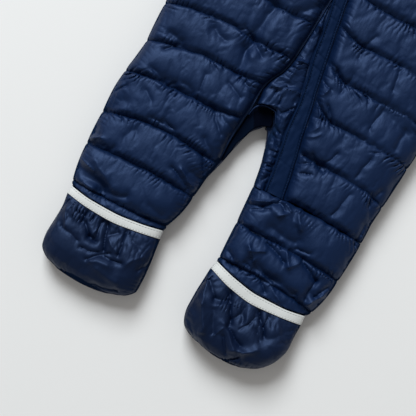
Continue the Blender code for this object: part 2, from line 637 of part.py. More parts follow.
def front_panels():
    never = SHOULDER_Q + 1
    quilted_panel("front_right", rows_from(FRONT_RIGHT) + neck_rows(-1), FRONT_COLUMNS,
                  -1, 8.0, rise=(-1, -1, 4.45, 7.8))
    quilted_panel("front_left_outer", rows_from(FRONT_LEFT_OUTER) + neck_rows(1),
                  FRONT_COLUMNS - 2, 1, 3.0)
    quilted_panel("front_left_lower", rows_from(FRONT_LEFT_LOWER), FRONT_COLUMNS, 1, never)
    quilted_panel("front_left_inner", rows_from(FRONT_LEFT_INNER), 7, -1, 3.0,
                  rise=(0, 1, 4.95, 7.8), valley=INNER_VALLEY, puff=INNER_PUFF, gathers=0,
                  extra=(4.3, 4.6, 4.7, 4.8, 4.9))


def crotch_gusset():
    rows = rows_from(CROTCH_GUSSET)
    points = np.array([row_points(r, 5) for r in rows])
    height = np.full(points.shape[:2], GUSSET_EDGE)
    height[:, 1:-1] = GUSSET_TOP
    paint(wall_mesh("crotch_gusset", points, height), NAVY_DARK)


def strip(name, centre, half, lift, thick, steps=3):
    """A band along the zip line, as an open surface thickened downwards."""
    mesh = bmesh.new()
    grid = []
    for (x, y), wide in zip(centre, half):
        across = np.linspace(-wide, wide, steps)
        grid.append([mesh.verts.new(((x + a - CENTRE_X) * MM, (y - CENTRE_Y) * MM,
                                     (LAYER + lift + thick) * MM)) for a in across])
    for low, high in zip(grid, grid[1:]):
        for c in range(steps - 1):
            mesh.faces.new((low[c], low[c + 1], high[c + 1], high[c]))
    thing = finish_mesh(name, mesh)
    solid = thing.modifiers.new("thickness", "SOLIDIFY")
    solid.thickness = thick * MM
    solid.offset = -1
    return thing


def zip_and_flap():
    """The closed zip between the front panels, and the flap that covers it."""
    start, end = ZIP_LINE[0][0] + 0.6, 377.0
    heights = np.linspace(start, end, 45)
    centre = [(zip_x(y), y) for y in heights]
    paint(strip("zip_strip", centre, [ZIP_HALF] * len(centre), GAP, ZIP_TOP - GAP),
          ZIP_BLACK)
    half = [flap_half(y) for y in heights]
    paint(strip("zip_flap", centre, half, FLAP_LIFT, FLAP_THICK), NAVY_FLAT)


def foot_rows(table):
    """Foot rows with an open edge all round and no flat edge."""
    rows = [dict(zip(FOOT_ROW, line)) for line in table]
    for row in rows:
        row["shelf"] = abs(row["x_out"] - row["x_in"]) / (FOOT_COLUMNS - 1)
    return rows


def foot_top(name, table):
    """Upper half of a foot; its first two rows carry the tape."""
    rows = foot_rows(table)
    knots = [r["q"] for r in rows]
    places = np.array([0, 1, 1.3, 1.7, 2, 2.5, 3, 3.5, 4, 4.5, 5, 5.5, 6, 6.5, 7])
    points = smooth(knots, [row_points(r, FOOT_COLUMNS) for r in rows], places)
    start, end = edge_distance(points)
    crown = (arc(start / ROUND_OPEN) * arc(end / ROUND_OPEN)) ** 0.8
    middle = columns_of(rows, "h_mid", places)[:, None]
    f = start / (start + end)
    place, reach = FOOT_GATHER_PLACE
    pull = np.exp(-((places - place) / reach) ** 2)[:, None] * (places > 1)[:, None]
    waves = FOOT_GATHER_HEIGHT * pull * np.cos(2 * math.pi * FOOT_GATHERS * f)
    height = EDGE + (middle - EDGE + waves) * crown
    return paint(wall_mesh(name, points, height), NAVY), points, height


def ankle_tape(name, points, height):
    """Tape along the top edge of a foot, made from the foot's own points."""
    mesh = bmesh.new()
    grid = []
    for r in (0, 1):
        grid.append([mesh.verts.new(((p[0] - CENTRE_X) * MM, (p[1] - CENTRE_Y) * MM,
                                     (LAYER + h + GAP) * MM))
                     for p, h in zip(points[r], height[r])])
    for c in range(len(grid[0]) - 1):
        mesh.faces.new((grid[0][c], grid[0][c + 1], grid[1][c + 1], grid[1][c]))
    thing = finish_mesh(name, mesh)
    if thing.data.polygons[0].normal.z < 0:
        thing.data.flip_normals()
    solid = thing.modifiers.new("thickness", "SOLIDIFY")
    solid.thickness = TAPE_THICK * MM
    solid.offset = 1
    paint(thing, PALE_TAPE)


def feet():
    for side, table in (("right", FOOT_TOP_RIGHT), ("left", FOOT_TOP_LEFT)):
        foot, points, height = foot_top("foot_top_" + side, table)
        ankle_tape("ankle_tape_" + side, points, height)
        foot_sole("foot_sole_" + side, table)


def flat_bottom(points, open_out, open_in):
    """Depth of a lower wall: flat at the floor, rounded at its open edges."""
    start, end = edge_distance(points)
    rim = np.maximum(1 - openness_rise(start) * open_out[:, None], 0)
    rim = np.minimum(rim, np.maximum(1 - openness_rise(end) * open_in[:, None], 0))
    return RIM_DEPTH + (LAYER - RIM_DEPTH) * rim


def openness_rise(distance):
    """1 at an open edge, 0 from RIM_ROUND inside it."""
    return 1 - arc(distance / RIM_ROUND)


def lower_points(rows, places, open_out, open_in, side=0, middle=1):
    """Points of a lower wall, closer together at its edges.

    middle is the number of columns between them.
    side is -1 or 1 for a back half, whose upper edges are put on their seams.
    """
    knots = [r[0] for r in rows]
    out = smooth(knots, [(r[1], r[2]) for r in rows], places)
    inner = smooth(knots, [(r[3], r[4]) for r in rows], places)
    if side:
        seam = CENTRE_X + side * GAP / 2
        inner[:, 0] = side * np.maximum(side * inner[:, 0], side * seam)
        ends = np.stack((out, inner), axis=1)
        place_edges(ends, places, side, BACK_DROP,
                    lambda q, y: seam if q > 4.4 else None)
        out, inner = ends[:, 0], ends[:, 1]
    width = np.linalg.norm(inner - out, axis=1)
    sides = RIM_ROUND * np.array((0, 0.2, 0.5, 1.0))[None, :] / width[:, None]
    share = np.arange(1, middle + 1)[None, :] / (middle + 1)
    between = sides[:, -1:] + (1 - 2 * sides[:, -1:]) * share
    f = np.concatenate((sides, between, 1 - sides[:, ::-1]), axis=1)
    points = out[:, None] + (inner - out)[:, None] * f[..., None]
    return swell(points, open_out, open_in, lobe(places))


def back_rows(table, side):
    """Rows of a back half, from the ankle to the shoulder and neck."""
    rows = list(table)
    middle = CENTRE_X + side * GAP / 2
    upper = ((5.0, 15.0), (5.5, 36.0), (6.0, 56.0), (7.0, 97.0), (8.0, 139.0),
             (9.0, 180.0), (10.0, 221.0), (PIT_Q, PIT_Y))
    front = rows_from(FRONT_RIGHT if side < 0 else FRONT_LEFT_OUTER)
    for q, y in upper:
        x_out = float(columns_of(front, "x_out", np.array([q]))[0])
        rows.append((q, x_out, y, middle, y + 2))
    for row in neck_rows(side, BACK_DROP):
        rows.append((row["q"], row["x_out"], row["y_out"], row["x_in"], row["y_in"]))
    return rows


def backs():
    for name, table, side in (("back_right", BACK_RIGHT_LEG, -1),
                              ("back_left", BACK_LEFT_LEG, 1)):
        rows = back_rows(table, side)
        places = channel_places(rows[0][0], rows[-1][0])
        open_out = (places < PIT_Q).astype(float)
        open_in = (places < 4.4).astype(float)
        points = lower_points(rows, places, open_out, open_in, side)
        paint(wall_mesh(name, points, flat_bottom(points, open_out, open_in), up=-1), NAVY)


def foot_sole(name, table):
    """Lower half of a foot, under the flap."""
    rows = foot_rows(table)
    seam = (rows[0]["y_out"] - 5.2, rows[0]["y_in"] - 5.8)
    outline = [(0.4, rows[0]["x_out"], seam[0], rows[0]["x_in"], seam[1])]
    outline += [(r["q"], r["x_out"], r["y_out"], r["x_in"], r["y_in"]) for r in rows[1:]]
    places = np.array([0.4, 1, 2, 3, 4, 4.5, 5, 5.5, 6, 6.5, 7])
    every = np.ones(len(places))
    points = lower_points(outline, places, every * 0, every * 0)
    bow = smooth([r["q"] for r in rows], [r["y_2"] - (r["y_out"] + r["y_in"]) / 2
                                          for r in rows], places)
    f = np.linspace(-1, 1, points.shape[1])
    reach = np.clip((places - 4) / 3, 0, 1)
    points[..., 1] += (bow * reach)[:, None] * (1 - f ** 2)[None, :]
    depth = flat_bottom(points, every, every)
    toe = np.array([LAYER] * 8 + TOE_DEPTHS)
    paint(wall_mesh(name, points, np.minimum(depth, toe[:, None]), up=-1), NAVY)


def sleeve_point(s, up, side):
    """Pattern point at s along the sleeve and up across it."""
    turn = math.radians(SLEEVE_TURN)
    x = SLEEVE_START[0] - s * math.sin(turn) - up * math.cos(turn)
    y = SLEEVE_START[1] - s * math.cos(turn) + up * math.sin(turn)
    return (x if side < 0 else mirror_x(x), y)


def sleeve_grid(side, columns, places):
    """Points of a sleeve, its first row along the armhole."""
    u = np.linspace(0, 1, columns)
    seam = np.array([armhole(1 - f) for f in u])
    seam[:, 0] -= 0.5
    if side > 0:
        seam[:, 0] = mirror_x(seam[:, 0])
    grid = [seam]
    for q, s_up, up, s_low, low in SLEEVE:
        ends = (s_up + (s_low - s_up) * u, up + (low - up) * u)
        grid.append(np.array([sleeve_point(s, w, side) for s, w in zip(*ends)]))
    return smooth(range(len(grid)), grid, places)


def sleeves():
    for name, side in (("right", -1), ("left", 1)):
        places = channel_places(0, 5)
        points = sleeve_grid(side, 16, places)
        edge = np.full(len(places), EDGE)
        edge[0] = SEAM
        points = swell(points, openness(edge), openness(edge), lobe(places))
        height = quilted_heights(points, places + 1, edge, edge, SLEEVE_VALLEY, SLEEVE_PUFF,
                                     0, ledge=False)
        paint(wall_mesh("sleeve_top_" + name, points, height), NAVY)

        places = np.array([0, 0.5, 1, 1.5, 2, 2.5, 3, 3.5, 4, 4.5, 5])
        middle = sleeve_grid(side, 3, places)
        rows = [(q, *line[0], *line[-1]) for q, line in zip(places, middle)]
        every = np.ones(len(places))
        points = lower_points(rows, places, every, every, middle=7)
        points[0] = sleeve_armhole(side, points[0])
        depth = flat_bottom(points, every, every)
        paint(wall_mesh("sleeve_under_" + name, points, depth, up=-1), NAVY)
        cuff("cuff_" + name, side)


def sleeve_armhole(side, line):
    """Points of the armhole seam at the spacing of a straight line of points."""
    length = np.linalg.norm(line[-1] - line[0])
    f = np.linalg.norm(line - line[0], axis=1) / length
    seam = np.array([armhole(1 - a) for a in np.clip(f, 0, 1)])
    seam[:, 0] -= 0.5
    if side > 0:
        seam[:, 0] = mirror_x(seam[:, 0])
    return seam


def cuff(name, side):
    """Flattened tube that closes a sleeve, open through its middle."""
    around = 20
    mesh = bmesh.new()
    loops = []
    for inside in (False, True):
        for s, wide, high in (CUFF if not inside else CUFF[::-1]):
            if inside:
                wide, high = wide - CUFF_SLOT[0], CUFF_SLOT[1]
            loop = []
            for k in range(around):
                turn = 2 * math.pi * k / around
                across = math.copysign(abs(math.cos(turn)) ** 0.8, math.cos(turn)) * wide
                lift = math.copysign(abs(math.sin(turn)) ** 0.8, math.sin(turn)) * high
                x, y = sleeve_point(s, across + CUFF_OFFSET, side)
                loop.append(mesh.verts.new(((x - CENTRE_X) * MM, (y - CENTRE_Y) * MM,
                                            (LAYER + lift) * MM)))
            loops.append(loop)
    for low, high in zip(loops, loops[1:] + loops[:1]):
        for k in range(around):
            n = (k + 1) % around
            mesh.faces.new((low[k], low[n], high[n], high[k]))
    paint(finish_mesh(name, mesh), NAVY)


def collar():
    """Short stand collar, lying flat above the neck: a back and two fronts."""
    places = np.array([0, 0.25, 0.5, 0.75, 1.0])
    w = np.linspace(-1, 1, 15)
    low = np.array([neckline(abs(f), BACK_DROP) for f in w])
    low[w > 0, 0] = mirror_x(low[w > 0, 0])
    low[:, 1] += GAP + 0.2
    top = np.column_stack((CENTRE_X + COLLAR_HALF * w, np.full(len(w), COLLAR_Y)))
    points = smooth([0, 1], [low, top], places)
    every = np.ones(len(places))
    depth = flat_bottom(points, every, every)
    depth[-1] = RIM_DEPTH
    paint(wall_mesh("collar_back", points, depth, up=-1), NAVY)

    places = np.array([0, 0.16, 0.5, 0.84, 1.0])
    zip_edge = CENTRE_X - ZIP_HALF - GAP
    w = np.linspace(1, (CENTRE_X - zip_edge) / NECK_HALF, 12)
    for name, side in (("right", -1), ("left", 1)):
        low = np.array([neckline(f, FRONT_DROP) for f in w])
        low[:, 1] += GAP + 0.2
        high = np.column_stack((CENTRE_X - (COLLAR_HALF - 1) * w,
                                NECK_Y + 6 + (COLLAR_Y - NECK_Y - 8) * w ** 2))
        high[-1, 0] = zip_edge
        if side > 0:
            low[:, 0] = mirror_x(low[:, 0])
            high[:, 0] = mirror_x(high[:, 0])
        low[-2, 0] = high[-2, 0] = CENTRE_X + side * (ZIP_HALF + GAP + shelf(350))
        points = smooth([0, 1], [low, high], places)
        every = np.ones(len(places))
        height = quilted_heights(points, places + 1, every * EDGE, every * SEAM,
                                 COLLAR_VALLEY, COLLAR_PUFF, 0)
        paint(wall_mesh("collar_front_" + name, points, height), NAVY)


# ----------------------------------------------------------------------- main
def clear_scene():
    for thing in list(bpy.data.objects):
        bpy.data.objects.remove(thing, do_unlink=True)
    group = bpy.data.collections.new(COLLECTION)
    bpy.context.scene.collection.children.link(group)


def main():
    clear_scene()
    backs()
    front_panels()
    crotch_gusset()
    zip_and_flap()
    feet()
    sleeves()
    collar()


main()
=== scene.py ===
"""Looks of the baby snowsuit: quilted cloth, camera, light and floor.

Each sewn piece is made again on a finer grid from the same tables as its
solid. Blender's cloth simulation then fills the channels: the stitched lines
are pinned, the cloth between them is a little longer than the line it is sewn
to, so it puffs up and gathers. Pattern sizes are in millimetres from the
crotch; right and left are the wearer's, so the right leg is at -X.
"""
import math

import bpy
import numpy as np
from mathutils import Matrix, Vector

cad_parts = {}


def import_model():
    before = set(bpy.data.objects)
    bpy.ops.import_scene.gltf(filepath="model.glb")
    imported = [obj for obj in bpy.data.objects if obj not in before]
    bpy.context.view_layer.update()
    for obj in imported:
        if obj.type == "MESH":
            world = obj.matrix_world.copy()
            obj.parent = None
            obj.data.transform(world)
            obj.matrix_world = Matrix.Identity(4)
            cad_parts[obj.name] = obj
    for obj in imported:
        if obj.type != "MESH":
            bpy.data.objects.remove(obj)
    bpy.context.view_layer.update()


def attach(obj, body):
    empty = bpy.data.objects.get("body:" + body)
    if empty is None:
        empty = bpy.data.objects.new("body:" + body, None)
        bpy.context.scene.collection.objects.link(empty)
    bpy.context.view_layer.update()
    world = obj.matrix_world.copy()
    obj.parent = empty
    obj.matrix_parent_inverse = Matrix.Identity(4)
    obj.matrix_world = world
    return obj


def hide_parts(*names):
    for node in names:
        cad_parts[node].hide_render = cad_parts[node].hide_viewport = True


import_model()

MM = 0.001
CENTRE_X = 7.5            # centre line of the body, from the crotch point
TOE_Y = -233.0            # lowest point, the toe of the left foot
COLLAR_Y = 415.0          # highest point, the top of the collar
CENTRE_Y = (TOE_Y + COLLAR_Y) / 2

LAYER = 12.0              # top of the back layer, where the front one lies
GAP = 0.3                 # between pieces that touch
EDGE = 3.0                # height of an open edge above the layer line
SEAM = 9.0                # height of an edge that is sewn to a neighbour
VALLEY = 9.0              # height of a stitched line
LEG_END = 0.3             # how full the strip beside the tape is
PUFF = 22.0               # height of a full channel
INNER_VALLEY = 9.4        # and the same beside the zip
INNER_PUFF = 12.5
SLEEVE_VALLEY = 8.0       # on the sleeves
SLEEVE_PUFF = 20.0
COLLAR_VALLEY = 9.0       # and on the collar
COLLAR_PUFF = 14.0
ROUND_OPEN = 26.0         # how far in an open edge rounds up
ROUND_SEAM = 11.0         # how far in a sewn edge rounds up
SCALLOP = 0.7             # how far a full channel swells the outline

ZIP_HALF = 3.0
SHELF_SPARE = 0.8         # how far a panel's flat edge reaches past the flap
FLAP_LIFT = 9.5           # underside of the zip flap above the layer line
FLAP_THICK = 2.2
TAPE_THICK = 1.2
COLLAR_HALF = 51.0

PIT_Q = 10.45             # rows of the body: armpit,
NECK_Q = 12.7             # centre of the neck seam,
SHOULDER_Q = 14.0         # and shoulder seam
PIT_Y = 240.0
PIT_RISE = 7.0            # how much higher that row ends at the centre
NECK_Y = 372.0            # where the neck seam meets the shoulder
NECK_HALF = 55.0
ARMHOLE = (               # points that bend it: armpit, middle, shoulder
    (-140.5, PIT_Y), (-110.0, 275.0), (-121.0, 351.0),
)
FRONT_DROP = 37.0         # how far the neck seam drops at the centre
BACK_DROP = 10.0

# The zip runs from the left leg to the neck: place and half width of its flap.
ZIP_LINE = (
    # y,     x,    half_width
    (-64, 45.5, 10.2),
    (-30, 41, 9.4),
    (0, 35.5, 8.8),
    (30, 32.5, 7.2),
    (54, 27.8, 6.8),
    (77, 24, 7.4),
    (100, 20.8, 6.8),
    (138, 15, 7),
    (186, 10.5, 7),
    (227, 8.3, 7),
    (267, 7.5, 7),
    (300, 7.5, 7),
    (COLLAR_Y, 7.5, 7.0),
)

# Centre front seam between the right front and the piece inside the zip.
RISE_SEAM = (
    # y,    x
    (6, -13.4),
    (20, -12.9),
    (30, -11.2),
    (40, -7),
    (50, -1.6),
    (64, 1.8),
    (84, 3.9),
    (104, 5.4),
    (120, 6.6),
    (140, 8.2),
)

# --------------------------------------------------------------- small maths
def slopes(knots, values):
    """Slopes at the knots of a smooth curve that never swings past its values."""
    wide = np.diff(knots).reshape((-1,) + (1,) * (values.ndim - 1))
    rise = np.diff(values, axis=0) / wide
    if len(knots) == 2:
        return np.concatenate((rise, rise), axis=0)
    before, after = rise[:-1], rise[1:]
    share = (wide[:-1] + 2 * wide[1:]) / (3 * (wide[:-1] + wide[1:]))
    same = before * after > 0
    blend = np.where(same, share * after + (1 - share) * before, 1.0)
    middle = np.where(same, before * after / blend, 0.0)
    return np.concatenate((rise[:1], middle, rise[-1:]), axis=0)


def smooth(knots, values, at):
    """Smooth curve through values at rising knots, read at the places at."""
    knots = np.asarray(knots, float)
    values = np.asarray(values, float)
    slope = slopes(knots, values)
    at = np.clip(np.asarray(at, float), knots[0], knots[-1])
    left = np.clip(np.searchsorted(knots, at, side="right") - 1, 0, len(knots) - 2)
    step = knots[left + 1] - knots[left]
    t = (at - knots[left]) / step
    shape = t.shape + (1,) * (values.ndim - 1)
    t = t.reshape(shape)
    step = step.reshape(shape)
    t2 = t * t
    t3 = t2 * t
    return ((2 * t3 - 3 * t2 + 1) * values[left] + (t3 - 2 * t2 + t) * step * slope[left]
            + (3 * t2 - 2 * t3) * values[left + 1] + (t3 - t2) * step * slope[left + 1])


def read(line, at):
    """The other columns of a table at places in its first column."""
    return smooth([row[0] for row in line], [row[1:] for row in line], at)


def ramp(value, start, end):
    """0 before start, 1 past end, and a straight line between them."""
    return np.clip((value - start) / (end - start), 0, 1)


def arc(distance):
    """Quarter-circle rise from 0 at an edge to 1 at a distance of 1 or more."""
    return np.sqrt(np.clip(1 - (1 - np.clip(distance, 0, 1)) ** 2, 0, 1))


def bell(distance, reach):
    """1 at a distance of 0, and fading over a reach."""
    return np.exp(-(distance / reach) ** 2)


def lobe(q):
    """How full a channel is at place q, where whole numbers are stitched lines."""
    return np.clip(1 - (2 * (q - np.floor(q)) - 1) ** 2, 0, 1) ** 0.7


def shelf(y):
    """Width of the flat edge that a front panel has under the zip flap."""
    return float(read(ZIP_LINE, [y])[0, 1]) + SHELF_SPARE - ZIP_HALF


def armhole(f):
    """Armhole seam on the wearer's right, f = 0 at the armpit, 1 at the shoulder."""
    return tuple((1 - f) ** 2 * a + 2 * f * (1 - f) * b + f * f * c
                 for a, b, c in zip(*ARMHOLE))


def neckline(w, drop):
    """Neck seam on the wearer's right, w = 0 at the centre line, 1 at the shoulder."""
    return (CENTRE_X - NECK_HALF * w, NECK_Y - drop * (1 - w * w))


def on_side(points, side):
    """Points on the wearer's right, or their mirror image where side is 1."""
    points = np.array(points, float)
    if side > 0:
        points[..., 0] = 2 * CENTRE_X - points[..., 0]
    return points


# --------------------------------------------------------------- pattern rows
ROW = ("q", "x_out", "y_out", "y_1", "y_2", "y_3", "x_in", "y_in", "h_out", "h_in", "shelf")


def rows_from(table):
    """Rows of a table as dictionaries with the column names of ROW."""
    return [dict(zip(ROW, line)) for line in table]


def armhole_place(q):
    """Place f on the armhole of the body's row q."""
    return float(np.interp(q, (PIT_Q, 11.0, 12.0, 13.0, SHOULDER_Q),
                           (0, 0.35, 0.69, 0.92, 1)))


def neck_place(q):
    """Place w on the neck seam of the body's row q."""
    return (q - NECK_Q) / (SHOULDER_Q - NECK_Q)


def neck_rows(side, drop=FRONT_DROP):
    """Rows above the armpit: armhole outside, centre line and neck seam inside."""
    rows = []
    for q in (10.7, 11.0, 11.5, 12.0, 12.4, 12.7, 13.0, 13.25, 13.5, 13.75, 14.0):
        outer = armhole(armhole_place(q))
        if q <= NECK_Q:
            low = PIT_Y + PIT_RISE
            up = (NECK_Y - drop - low) * (q - PIT_Q) / (NECK_Q - PIT_Q)
            inner, ledge = (CENTRE_X - ZIP_HALF - GAP, low + up), shelf(300)
        else:
            inner, ledge = neckline(neck_place(q), drop), 2
        (x_out, y_out), (x_in, y_in) = on_side((outer, inner), side).tolist()
        bow = 1.5 if q < 13.6 else 0
        between = [y_out + k * ((y_in - y_out) / 4) + bow for k in (1, 2, 3)]
        rows.append(dict(zip(ROW, (q, x_out, y_out, *between, x_in, y_in, SEAM, SEAM,
                                   ledge))))
    return rows


def place_edges(points, places, side, drop, centre):
    """Put the ends of the upper rows exactly on the armhole and the neck seam.

    centre gives the x of the centre edge below the neck, or None to leave it.
    """
    for row, q in zip(points, places):
        if q >= PIT_Q:
            row[0] = on_side(armhole(armhole_place(q)), side)
        if q > NECK_Q:
            row[-1] = on_side(neckline(neck_place(q), drop), side)
        x = centre(q, row[-1, 1])
        if x is not None:
            row[-1, 0] = x if q <= NECK_Q else side * max(side * x, side * row[-1, 0])


# Front of the right leg and body, from the ankle up to the armpit. Whole
# numbers of q are stitched lines. y_1 to y_3 are the line's heights at a
# quarter, half and three quarters of the way from the outer edge to the inner.
FRONT_RIGHT = (
    (0, -136, -147, -150.6, -151.4, -149.2, -36, -145, 3, 3, 2),
    (1, -138.3, -142, -143.2, -143, -142.2, -35, -139.6, 3, 3, 2),
    (1.5, -141.5, -122, -121.5, -121, -120.5, -28.5, -120.5, 3, 3, 2),
    (2, -143, -103, -101, -99.8, -100.5, -25, -102, 3, 3, 2),
    (2.5, -143.3, -85.5, -81, -78.5, -79.5, -23, -82, 3, 3, 2),
    (3, -143.6, -68, -60.5, -57.2, -59.2, -18.2, -62, 3, 6, 2),
    (3.5, -144, -45, -39, -36.5, -37.5, -17.9, -37, 3, 9, 2),
    (4, -142.2, -21, -17, -15.4, -15.6, -15.4, -10.5, 3, 9, 2),
    (4.5, -139, -3, 3, 6, 5, -13.3, 7, 3, 9, 2),
    (5, -137.2, 15, 22, 26.6, 25.8, -12, 29, 3, 9, 2),
    (5.5, -137.6, 36, 43, 46, 44.5, -3.2, 47, 3, 9, 2),
    (6, -138, 56, 63, 65.5, 62.5, 1.4, 64, 3, 9, 2),
    (7, -138.4, 97, 103, 105, 102.5, 5, 104, 3, 9, 2),
    (7.8, -138.8, 131, 136, 138, 137, 7.6, 137, 3, 9, 2.5),
    (8, -139, 139, 144, 146, 146, 10.7, 146, 3, 9, 4.8),
    (9, -139.5, 180, 185.5, 187, 187, 7.1, 187, 3, 9, 4.8),
    (10, -140.3, 221, 226, 227.5, 227.5, 5, 227.5, 3, 9, 4.8),
    (10.45, -140.5, 240, 245, 246.5, 246.5, 4.6, 246.5, 6, 9, 4.8),
)

# Front of the body left of the zip, from the seam below the zip up.
FRONT_LEFT_OUTER = (
    (3, 145, -65.8, -64.2, -62.8, -61.8, 48.8, -63.8, 3, 9, 8),
    (3.5, 144.6, -46, -42, -40.5, -40.5, 46.6, -40, 3, 9, 7.6),
    (4, 147, -25, -19, -17, -16.4, 41.7, -14, 3, 9, 7.6),
    (4.5, 149, -2, 2, 3.5, 5, 37, 14, 3, 9, 7.2),
    (5, 151.5, 21, 23.6, 24.4, 25.2, 33.9, 42, 3, 9, 6.6),
    (5.5, 153, 40, 44, 45, 46, 30.2, 60, 3, 9, 6.2),
    (6, 154, 60, 65, 65.6, 66.6, 27, 78, 3, 9, 6.4),
    (7, 154.5, 101, 105, 106.2, 106, 21.7, 117, 3, 9, 5.8),
    (8, 154.6, 140, 144, 146.2, 147, 16.6, 154, 3, 9, 5.6),
    (9, 154.8, 180, 185.5, 187, 187.5, 13.5, 191, 3, 9, 5.2),
    (10, 155.3, 221, 226, 227.5, 227.5, 11.5, 229, 3, 9, 4.8),
    (10.45, 155.5, 240, 245, 246.5, 246.5, 11, 247, 6, 9, 4.8),
)

# Front of the left leg below the end of the zip.
FRONT_LEFT_LOWER = (
    (0, 129, -155, -158, -158.3, -154.2, 26.6, -147, 3, 3, 2),
    (1, 132.6, -149.5, -145.2, -143.4, -142.4, 27, -142.6, 3, 3, 2),
    (1.5, 138.5, -130, -126.5, -124.5, -123.5, 26.8, -123.5, 3, 3, 2),
    (2, 141.6, -110, -107, -105.6, -104.6, 26.2, -104, 3, 3, 2),
    (2.5, 143.3, -88, -85.6, -84.4, -84.2, 25.6, -83, 3, 3, 2),
    (3, 145, -66.2, -64.6, -63.3, -64.2, 24.2, -64.8, 3, 3.75, 2),
)

# Front of the left leg between the centre front seam and the zip. Its inner
# edge in this table is the zip.
FRONT_LEFT_INNER = (
    (3, 24.3, -64.2, -64.2, -64.2, -64.2, 42.2, -64.2, 3, 9, 7.8),
    (3.5, 23, -50, -49.8, -49.2, -48.6, 40.1, -48, 3, 9, 7.4),
    (4, 21.2, -40, -39.4, -38.6, -37.4, 38.6, -36, 3, 9, 7.2),
    (4.3, 15.4, -14, -13.4, -12.6, -11.4, 34, -10, 4.5, 9, 6.8),
    (4.5, 15, -3, -2.4, -1.4, -0.6, 32.2, 0, 6, 9, 6.6),
    (4.6, 11.2, 5.8, 6.4, 7, 7.6, 31.2, 8, 7.5, 9, 6),
    (4.7, 6.8, 12.8, 13.2, 13.8, 14.4, 30.6, 15, 8.25, 9, 5.6),
    (4.8, -1, 13.2, 14.8, 17, 19.6, 29.8, 22, 9, 9, 5.4),
    (4.9, -10.2, 9, 13, 18.4, 24, 29, 29, 9, 9, 5),
    (5, -11.2, 29, 31.6, 34.2, 36.6, 28, 38, 9, 9, 4.8),
    (5.5, -2.4, 47, 48.6, 50, 51.6, 25.2, 53, 9, 9, 4.8),
    (6, 2.2, 64, 65, 66, 67, 22.1, 68, 9, 9, 5.4),
    (7, 5.8, 104, 104.2, 104.4, 104.6, 16.6, 105, 9, 9, 4.9),
    (7.4, 7, 120, 120, 120, 120, 14.6, 120, 9, 9, 5.2),
    (7.75, 8.4, 135, 135, 135, 135, 12.3, 135, 9, 9, 3.75),
)

# Strip that turns down at the crotch, from the right inseam to the left leg.
CROTCH_GUSSET = (
    (0, -17, -56, -56, -56, -56, -14.8, -56, 4, 4, 0.6),
    (0.2, -17.4, -46, -46, -46, -46, -12.2, -46, 4, 4, 0.8),
    (0.4, -17.1, -36, -35.8, -35.5, -35.3, -10.6, -35, 4, 4, 1),
    (0.6, -16.2, -26, -25.8, -25.5, -25.3, -6.5, -25, 4, 4, 1.2),
    (0.8, -15, -17, -16.6, -16, -15.4, -2.8, -15, 4, 4, 1.2),
    (1, -14.2, -8, -8, -8, -7.8, 4, -7.6, 4, 4, 1.2),
    (1.2, -13, -1, -1.8, -2.6, -3.2, 12.4, -4, 4, 4, 1.2),
    (1.4, -12.4, 4.2, 3.4, 2.6, 1.4, 12.2, 0.2, 4, 4, 1.2),
    (1.6, -9.6, 6.2, 6.2, 6, 5.4, 9.4, 4.8, 4, 4, 1.2),
    (1.8, -2, 10.2, 10.8, 11.2, 11.2, 5.6, 11, 4, 4, 1),
)

# Foot flaps: q runs from the taped top edge (0 to 1) to the toe. Here the
# height columns are the open edge and h_mid, the height in the middle.
FOOT_ROW = ("q", "x_out", "y_out", "y_1", "y_2", "y_3", "x_in", "y_in", "h_mid")
FOOT_TOP_RIGHT = (
    (0, -136.4, -147.7, -151.2, -152, -149.8, -35.4, -145.6, 14),
    (1, -137.6, -155.8, -159.6, -161, -158.4, -34.6, -154.4, 14.6),
    (2, -136.2, -170, -174, -175.5, -173, -33.2, -167, 19),
    (3, -137, -185, -190, -192, -189, -31.6, -182, 21),
    (4, -138.2, -200, -206, -208, -205, -30.8, -198, 21),
    (5, -136.6, -212.5, -217, -219, -216.5, -31, -210.5, 18),
    (6, -128, -221.6, -224.6, -225.6, -223.6, -38, -219.6, 12.5),
    (7, -112, -227.6, -229.4, -230, -229.4, -58, -227.4, 5),
)
FOOT_TOP_LEFT = (
    (0, 129.3, -155.7, -158.7, -158.9, -154.9, 26.2, -147.6, 14),
    (1, 129.8, -165.4, -168, -169.4, -165.2, 24, -156.6, 14.6),
    (2, 129.4, -178, -182.5, -183.6, -180, 22.6, -171, 20),
    (3, 129.8, -191.5, -197, -199, -196, 21.4, -186, 23.5),
    (4, 126, -205, -211, -213, -210.5, 21, -202, 24),
    (5, 119, -216.4, -220.5, -222.6, -221.5, 24.6, -216.5, 21.5),
    (6, 108.5, -225.4, -228, -228.8, -227.8, 36.6, -225.2, 16),
    (7, 95, -231.2, -232.6, TOE_Y, -232.4, 56, -230.8, 6),
)

# Outlines of the lower layer. Its inner edge is the inseam and, above the
# crotch, the centre back seam.
BACK_RIGHT_LEG = (
    # q,     x_out,  y_out,  x_in,  y_in
    (0, -136.4, -152.2, -35.8, -151),
    (0.3, -137.4, -146, -36, -145),
    (1, -138.3, -142, -35, -139.6),
    (1.5, -141.5, -122, -28.5, -120.5),
    (2, -143, -103, -25, -102),
    (2.5, -143.3, -85.5, -23, -82),
    (3, -143.6, -68, -17, -64),
    (3.5, -144, -45, -11.4, -40),
    (4, -142.2, -21, -4, -18),
    (4.3, -140.5, -10, 4, -8.2),
    (4.5, -139, -3, 7.3, -3.6),
)
BACK_LEFT_LEG = (
    (0, 128.6, -157.6, 26.6, -152),
    (0.3, 130.4, -154, 26.8, -147),
    (1, 132.6, -149.5, 27, -142.6),
    (1.5, 138.5, -130, 26.8, -123.5),
    (2, 141.6, -110, 26.2, -104),
    (2.5, 143.3, -88, 25.6, -83),
    (3, 145, -66.2, 24.2, -64.8),
    (3.5, 144.6, -46, 21.6, -44),
    (4, 147, -25, 16.6, -25),
    (4.3, 148, -13, 12, -11),
    (4.5, 149, -2, 7.9, -4.4),
)

